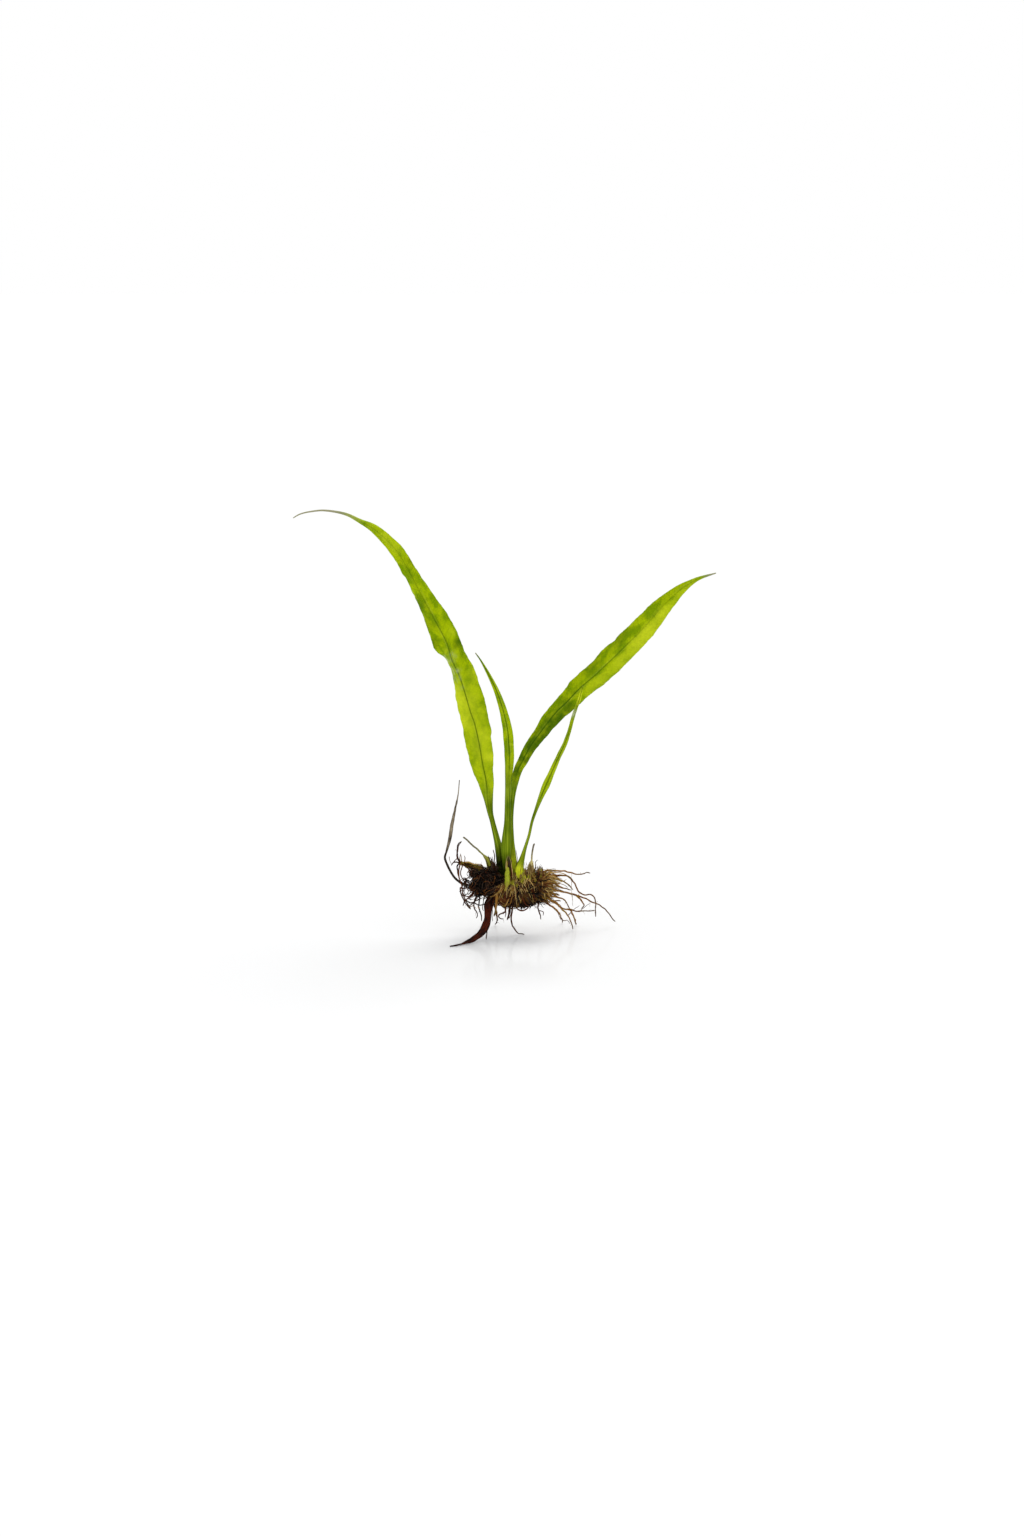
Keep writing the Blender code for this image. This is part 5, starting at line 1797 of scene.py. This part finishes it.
@dataclass
class Tangle:
    """Knot of old, matted roots, with strands wound over it at random.

    Heart is the size of its dark heart as a share of the radii; a knot without one is loose.
    """

    centre: Row
    radii: Row
    strands: int
    seed: int
    heart: float = 0.78
    lumps: float = 0.3

    HEART_HUE = 0.04
    BENDS = 6
    START_DEPTH = 0.7
    HUES = (0.0, 0.0, 0.0, 0.04, 0.1, 0.36)

    def surface(self, out: Vector, share: float) -> Vector:
        """Point of the knot.

        Args:
            out: direction from its centre.
            share: how far out, as a share of its size.

        Returns:
            The point.
        """
        size = share * (1 + self.lumps * noise.noise(out * 1.7 + Vector((self.seed, 0, 0))))
        reach = Vector([radius * size * part for radius, part in zip(self.radii, out)])
        return Vector(self.centre) + reach

    def add_heart(self, skin: Skin) -> None:
        """Add the heart to a mesh.

        Args:
            skin: the mesh.
        """
        for vert in bmesh.ops.create_icosphere(skin.bm, subdivisions=5, radius=1)["verts"]:
            out = vert.co.normalized()
            rough = 0.16 * noise.noise(out * 4) + 0.1 * noise.noise(out * 13)
            vert.co = self.surface(out, self.heart + rough) * MM
            vert[skin.layers["hue"]] = self.HEART_HUE

    def add_to(self, skin: Skin) -> None:
        """Add the heart, if there is one, and the strands to a mesh.

        Args:
            skin: the mesh.
        """
        if self.heart:
            self.add_heart(skin)
        rng = random.Random(self.seed)
        for _ in range(self.strands):
            out = random_way(rng).normalized()
            axis = random_way(rng)
            axis = (axis - out * axis.dot(out)).normalized()
            turn, height = rng.uniform(0.5, 2.2), rng.uniform(0.78, 1.16)
            rows = []
            for step in range(self.BENDS + 1):
                around = turn * step / self.BENDS
                way = out * math.cos(around) + axis * math.sin(around)
                rise = 0.3 * noise.noise(way * 2.4 + Vector((height * 9, 0, 0)))
                rise -= self.START_DEPTH if self.heart and not step else 0.0
                rows.append(self.surface(way, height + rise))
            width = rng.triangular(0.14, 0.56, 0.22)
            skin.strand(rows, (width, width * 0.6), sides=6, step=0.45, wander=0.9,
                        hue=rng.choice(self.HUES))


@dataclass
class RootMat:
    """Black mat of old roots at the left, which reaches up between the leaves' feet."""

    knots: list[Tangle] = field(default_factory=lambda: [
        Tangle((-8.1, -3.3, 19.1), (4.0, 3.4, 4.0), 210, 37),
        Tangle((-5.2, -1.6, 21.6), (3.3, 3.0, 3.0), 110, 41),
        Tangle((-2.6, -2.4, 20.0), (2.4, 2.2, 2.4), 60, 44),
        Tangle((-10.8, -2.2, 22.6), (2.0, 1.6, 1.7), 44, 47),
        Tangle((-13.4, -3.0, 16.4), (1.9, 1.2, 3.6), 16, 126, heart=0.0),
        Tangle((-13.8, -3.0, 20.0), (1.5, 1.0, 1.2), 16, 127, heart=0.0),
        Tangle((-9.6, -3.4, 13.8), (3.6, 1.4, 1.5), 9, 108, heart=0.0),
    ])

    def build(self, finish: Material) -> Piece:
        """All knots as one piece.

        Args:
            finish: its material.

        Returns:
            The piece.
        """
        skin = Skin("hue", "tip")
        for knot in self.knots:
            knot.add_to(skin)
        return skin.piece("mat_strands", finish, Slot.MAT, "root_mat")


# Old stalks and the shoot


@dataclass
class Stalks:
    """Two broken stalks of old leaves, the green shoot and the buds.

    A group of buds holds its first and last place along the rhizome, its angle, the number
    of its buds and their size. A sheath holds its way from the tip down, and its width.
    """

    rhizome: Rhizome
    bud_groups: list[Row] = field(default_factory=lambda: [
        (6.5, 8.2, 28, 18, 1.0), (8.2, 9.2, 20, 10, 0.9), (9.2, 11.8, 5, 12, 0.8),
        (6.0, 10.0, -60, 14, 0.8), (4.6, 6.0, 20, 5, 0.7),
    ])
    old_left: list[Row] = field(default_factory=lambda: [
        (-4.6, -0.6, 20.8), (-5.0, -0.6, 24.3), (-5.6, -0.6, 26.4), (-7.0, -0.6, 28.4),
        (-9.0, -0.8, 30.6), (-11.1, -1.0, 32.4), (-13.0, -1.2, 34.3), (-14.6, -1.4, 35.5)])
    old_right: list[Row] = field(default_factory=lambda: [
        (9.0, 0.3, 20.6), (9.2, 0.5, 24.1), (9.5, 0.6, 26.2), (9.7, 0.7, 28.7),
        (10.0, 0.8, 31.2), (10.6, 0.9, 32.8)])
    shoot: list[Row] = field(default_factory=lambda: [
        (0.9, -2.4, 17.6), (0.9, -4.4, 19.8), (0.9, -5.6, 21.0), (1.0, -6.3, 20.6),
        (0.8, -6.9, 19.3), (0.1, -7.1, 17.4)])
    shoot_sheath: list[Row] = field(default_factory=lambda: [
        (0.9, -6.2, 19.8), (0.95, -5.8, 20.8), (1.0, -4.5, 22.4), (1.0, -3.0, 24.6),
        (0.9, -2.2, 27.4)])
    sheaths: list[tuple[list[Row], float]] = field(default_factory=lambda: [
        ([(6.4, -1.8, 25.4), (6.7, -3.0, 23.4), (6.8, -3.8, 21.4), (6.8, -4.0, 19.6)], 1.5),
        ([(-2.6, 0.8, 26.0), (-3.2, 0.2, 23.6), (-3.4, -0.2, 21.0), (-3.2, -0.4, 18.6)], 1.4),
        ([(2.4, 2.6, 26.0), (2.1, 3.1, 23.4), (1.8, 3.4, 20.8), (1.8, 3.4, 18.4)], 1.3),
    ])
    bud_finish: StalkFinish = StalkFinish(
        "bud_skin", (168, 168, 36), (116, 106, 28), (104, 76, 34), dry_from=0.45)
    old_finish: StalkFinish = StalkFinish(
        "old_stalk", (150, 152, 40), (112, 96, 36), (112, 106, 82))
    pale_finish: StalkFinish = StalkFinish(
        "pale_stalk", (212, 198, 132), (158, 132, 70), (112, 100, 82), dry_from=0.4)
    green_finish: StalkFinish = StalkFinish(
        "green_shoot", (150, 160, 28), (116, 120, 20), (142, 122, 44), dry_from=0.5)

    @staticmethod
    def bud_swell(share: float) -> float:
        """Width factor of a bud, which is blunt at its foot and pointed at its end."""
        return math.sin(math.pi * (0.3 + 0.7 * share)) ** 0.8

    def build_buds(self, finish: Material) -> Piece:
        """Pointed buds and scales between the feet of the leaves, as one piece.

        Args:
            finish: their material.

        Returns:
            The piece.
        """
        rng = random.Random(61)
        skin = Skin("tip", "hue")
        for low, high, steepest, count, size in self.bud_groups:
            for _ in range(count):
                place, angle = rng.uniform(low, high), rng.gauss(steepest, 20)
                foot, out = self.rhizome.skin(place, angle), self.rhizome.normal(place, angle)
                lean = out * rng.uniform(0.5, 1.0) + Vector((rng.uniform(-0.3, 0.7), 0, 0.6))
                lean = lean.normalized() * rng.uniform(1.4, 3.4) * size
                bend = Vector((rng.uniform(-0.3, 0.3), 0, rng.uniform(0.1, 0.5)))
                width = rng.uniform(0.7, 1.5) * size
                rows = [foot - lean * 0.3, foot + lean * 0.1, foot + lean * 0.6,
                        foot + lean + bend]
                skin.strand(rows, (width, width), sides=12, step=0.25,
                            flat=rng.uniform(0.4, 0.8), wander=0.5, thin_way=out,
                            hue=rng.random(), swell=self.bud_swell)
        for rows, width in self.sheaths:
            skin.strand(rows[::-1], (width, width), sides=14, step=0.25, flat=0.5, wander=0.3,
                        thin_way=Vector((0, -1, 0)), hue=0.4, swell=self.bud_swell)
        return skin.piece("buds_green", finish, Slot.STALK)

    def build(self) -> list[Piece]:
        """The stalks, the shoot and the buds.

        Returns:
            The pieces.
        """
        bud, old, pale, green = (finish.make() for finish in (
            self.bud_finish, self.old_finish, self.pale_finish, self.green_finish))
        return [
            self.stalk("stalk_left", [self.old_left], 2.2, 0.62, old, Slot.STALK,
                       "stalk_old_left"),
            self.stalk("stalk_right", [self.old_right], 2.5, 0.6, pale, Slot.STALK,
                       "stalk_old_right"),
            self.stalk("shoot_green", [self.shoot, self.shoot_sheath], 1.7, 0.7, green,
                       Slot.LEAF, "shoot_new", 1.0),
            self.build_buds(bud),
        ]

    def stalk(self, name: str, ways: list[list[Row]], wide: float, narrow: float,
              finish: Material, slot: Slot, node: str, reach: float = 0.52) -> Piece:
        """One stalk as a piece.

        Args:
            name: name of the piece.
            ways: its way, and the way of its sheath if it has one.
            wide: width at its foot.
            narrow: width at its end.
            finish: its material.
            slot: its material slot.
            node: the frame's node that it stands for.
            reach: share of its length at which the wide foot has ended.

        Returns:
            The piece.
        """
        skin = Skin("tip", "hue")
        for points in ways:
            skin.strand(points, (wide, wide), sides=20, step=0.25, wander=0.15, hue=0.5,
                        lumps=0.1, swell=lambda share: max(1 - (share / reach) ** 4, narrow / wide))
        return skin.piece(name, finish, slot, node)


# Studio


@dataclass
class Studio:
    """Floor, light and camera."""

    eye: Row = (2.62, -1181.77, 268.26)
    tilt: float = 80.0
    focal_px: float = 3428.57
    image_px: float = 1024.0
    sensor: float = 36.0
    far: float = 100.0
    floor_size: float = 6000.0
    floor_colour: Row = (0.68, 0.684, 0.695)
    mirror_radius: Span = (0.09, 0.04)
    mirror_share: float = 0.5
    mirror_gloss: float = 0.1
    mirror_roughness: float = 0.12
    sky: float = 1.0
    sun: float = 1.95
    sun_spread: float = 45.0
    sun_way: Row = (-0.45, -0.6, -1.0)
    sun_colour: Row = (1.0, 0.985, 0.95)

    def build(self) -> None:
        """Set up all of it."""
        self.add_camera()
        self.add_light()
        self.add_floor()

    def add_camera(self) -> None:
        """Camera at the photograph's place and angle."""
        data = bpy.data.cameras.new("camera")
        data.sensor_fit = "HORIZONTAL"
        data.sensor_width = self.sensor
        data.lens = self.sensor * self.focal_px / self.image_px
        data.clip_end = self.far
        made = add_object("camera", data)
        made.location = Vector(self.eye) * MM
        made.rotation_euler = (math.radians(self.tilt), 0, 0)
        bpy.context.scene.camera = made

    def add_light(self) -> None:
        """White sky and one very soft sun."""
        world = bpy.data.worlds.new("white_sky")
        world.use_nodes = True
        background = world.node_tree.nodes["Background"]
        background.inputs["Color"].default_value = (1, 1, 1, 1)
        background.inputs["Strength"].default_value = self.sky
        bpy.context.scene.world = world
        data = bpy.data.lights.new("soft_sun", "SUN")
        data.energy = self.sun
        data.color = self.sun_colour
        data.angle = math.radians(self.sun_spread)
        made = add_object("soft_sun", data)
        made.rotation_euler = Vector(self.sun_way).to_track_quat("-Z", "Y").to_euler()
        bpy.context.scene.view_settings.view_transform = "Standard"

    def add_floor(self) -> None:
        """White floor, which mirrors a little close to the plant."""
        bm = bmesh.new()
        bmesh.ops.create_grid(bm, x_segments=1, y_segments=1, size=self.floor_size * MM)
        mesh = bpy.data.meshes.new("floor")
        bm.to_mesh(mesh)
        bm.free()
        graph = ShaderGraph("floor_white")
        place = graph.output(graph.node("ShaderNodeTexCoord", {}, {}), "Object")
        away = graph.value(graph.node("ShaderNodeVectorMath", {"operation": "LENGTH"},
                                      {"Vector": place}), "Value")
        plain, mirror = (
            graph.output(graph.node("ShaderNodeBsdfPrincipled", {},
                                    {"Base Color": (*self.floor_colour, 1.0),
                                     "Specular IOR Level": gloss, "Roughness": rough}), "BSDF")
            for gloss, rough in ((0.0, 1.0), (self.mirror_gloss, self.mirror_roughness)))
        share = away.rise(*self.mirror_radius) * self.mirror_share
        both = graph.node("ShaderNodeMixShader", {},
                          {"Fac": share, "Shader": plain, "Shader_001": mirror})
        graph.node("ShaderNodeOutputMaterial", {}, {"Surface": graph.output(both, "Shader")})
        mesh.materials.append(graph.material)
        add_object("floor", mesh)


def main() -> None:
    """Build the studio and the plant, and log how many pieces it has."""
    Studio().build()
    roots = RootFinish().make()
    rhizome = Rhizome()
    pieces = Foliage().build()
    pieces += [rhizome.build_skin(), rhizome.build_coir(roots)]
    pieces += Roots(rhizome).build(roots)
    pieces += Fibres(rhizome).build(roots)
    pieces.append(RootMat().build(roots))
    pieces += Stalks(rhizome).build()
    log.info("%d pieces", len(pieces))
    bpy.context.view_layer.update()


if __name__ == "__main__":
    logging.basicConfig(level=logging.INFO)
    main()
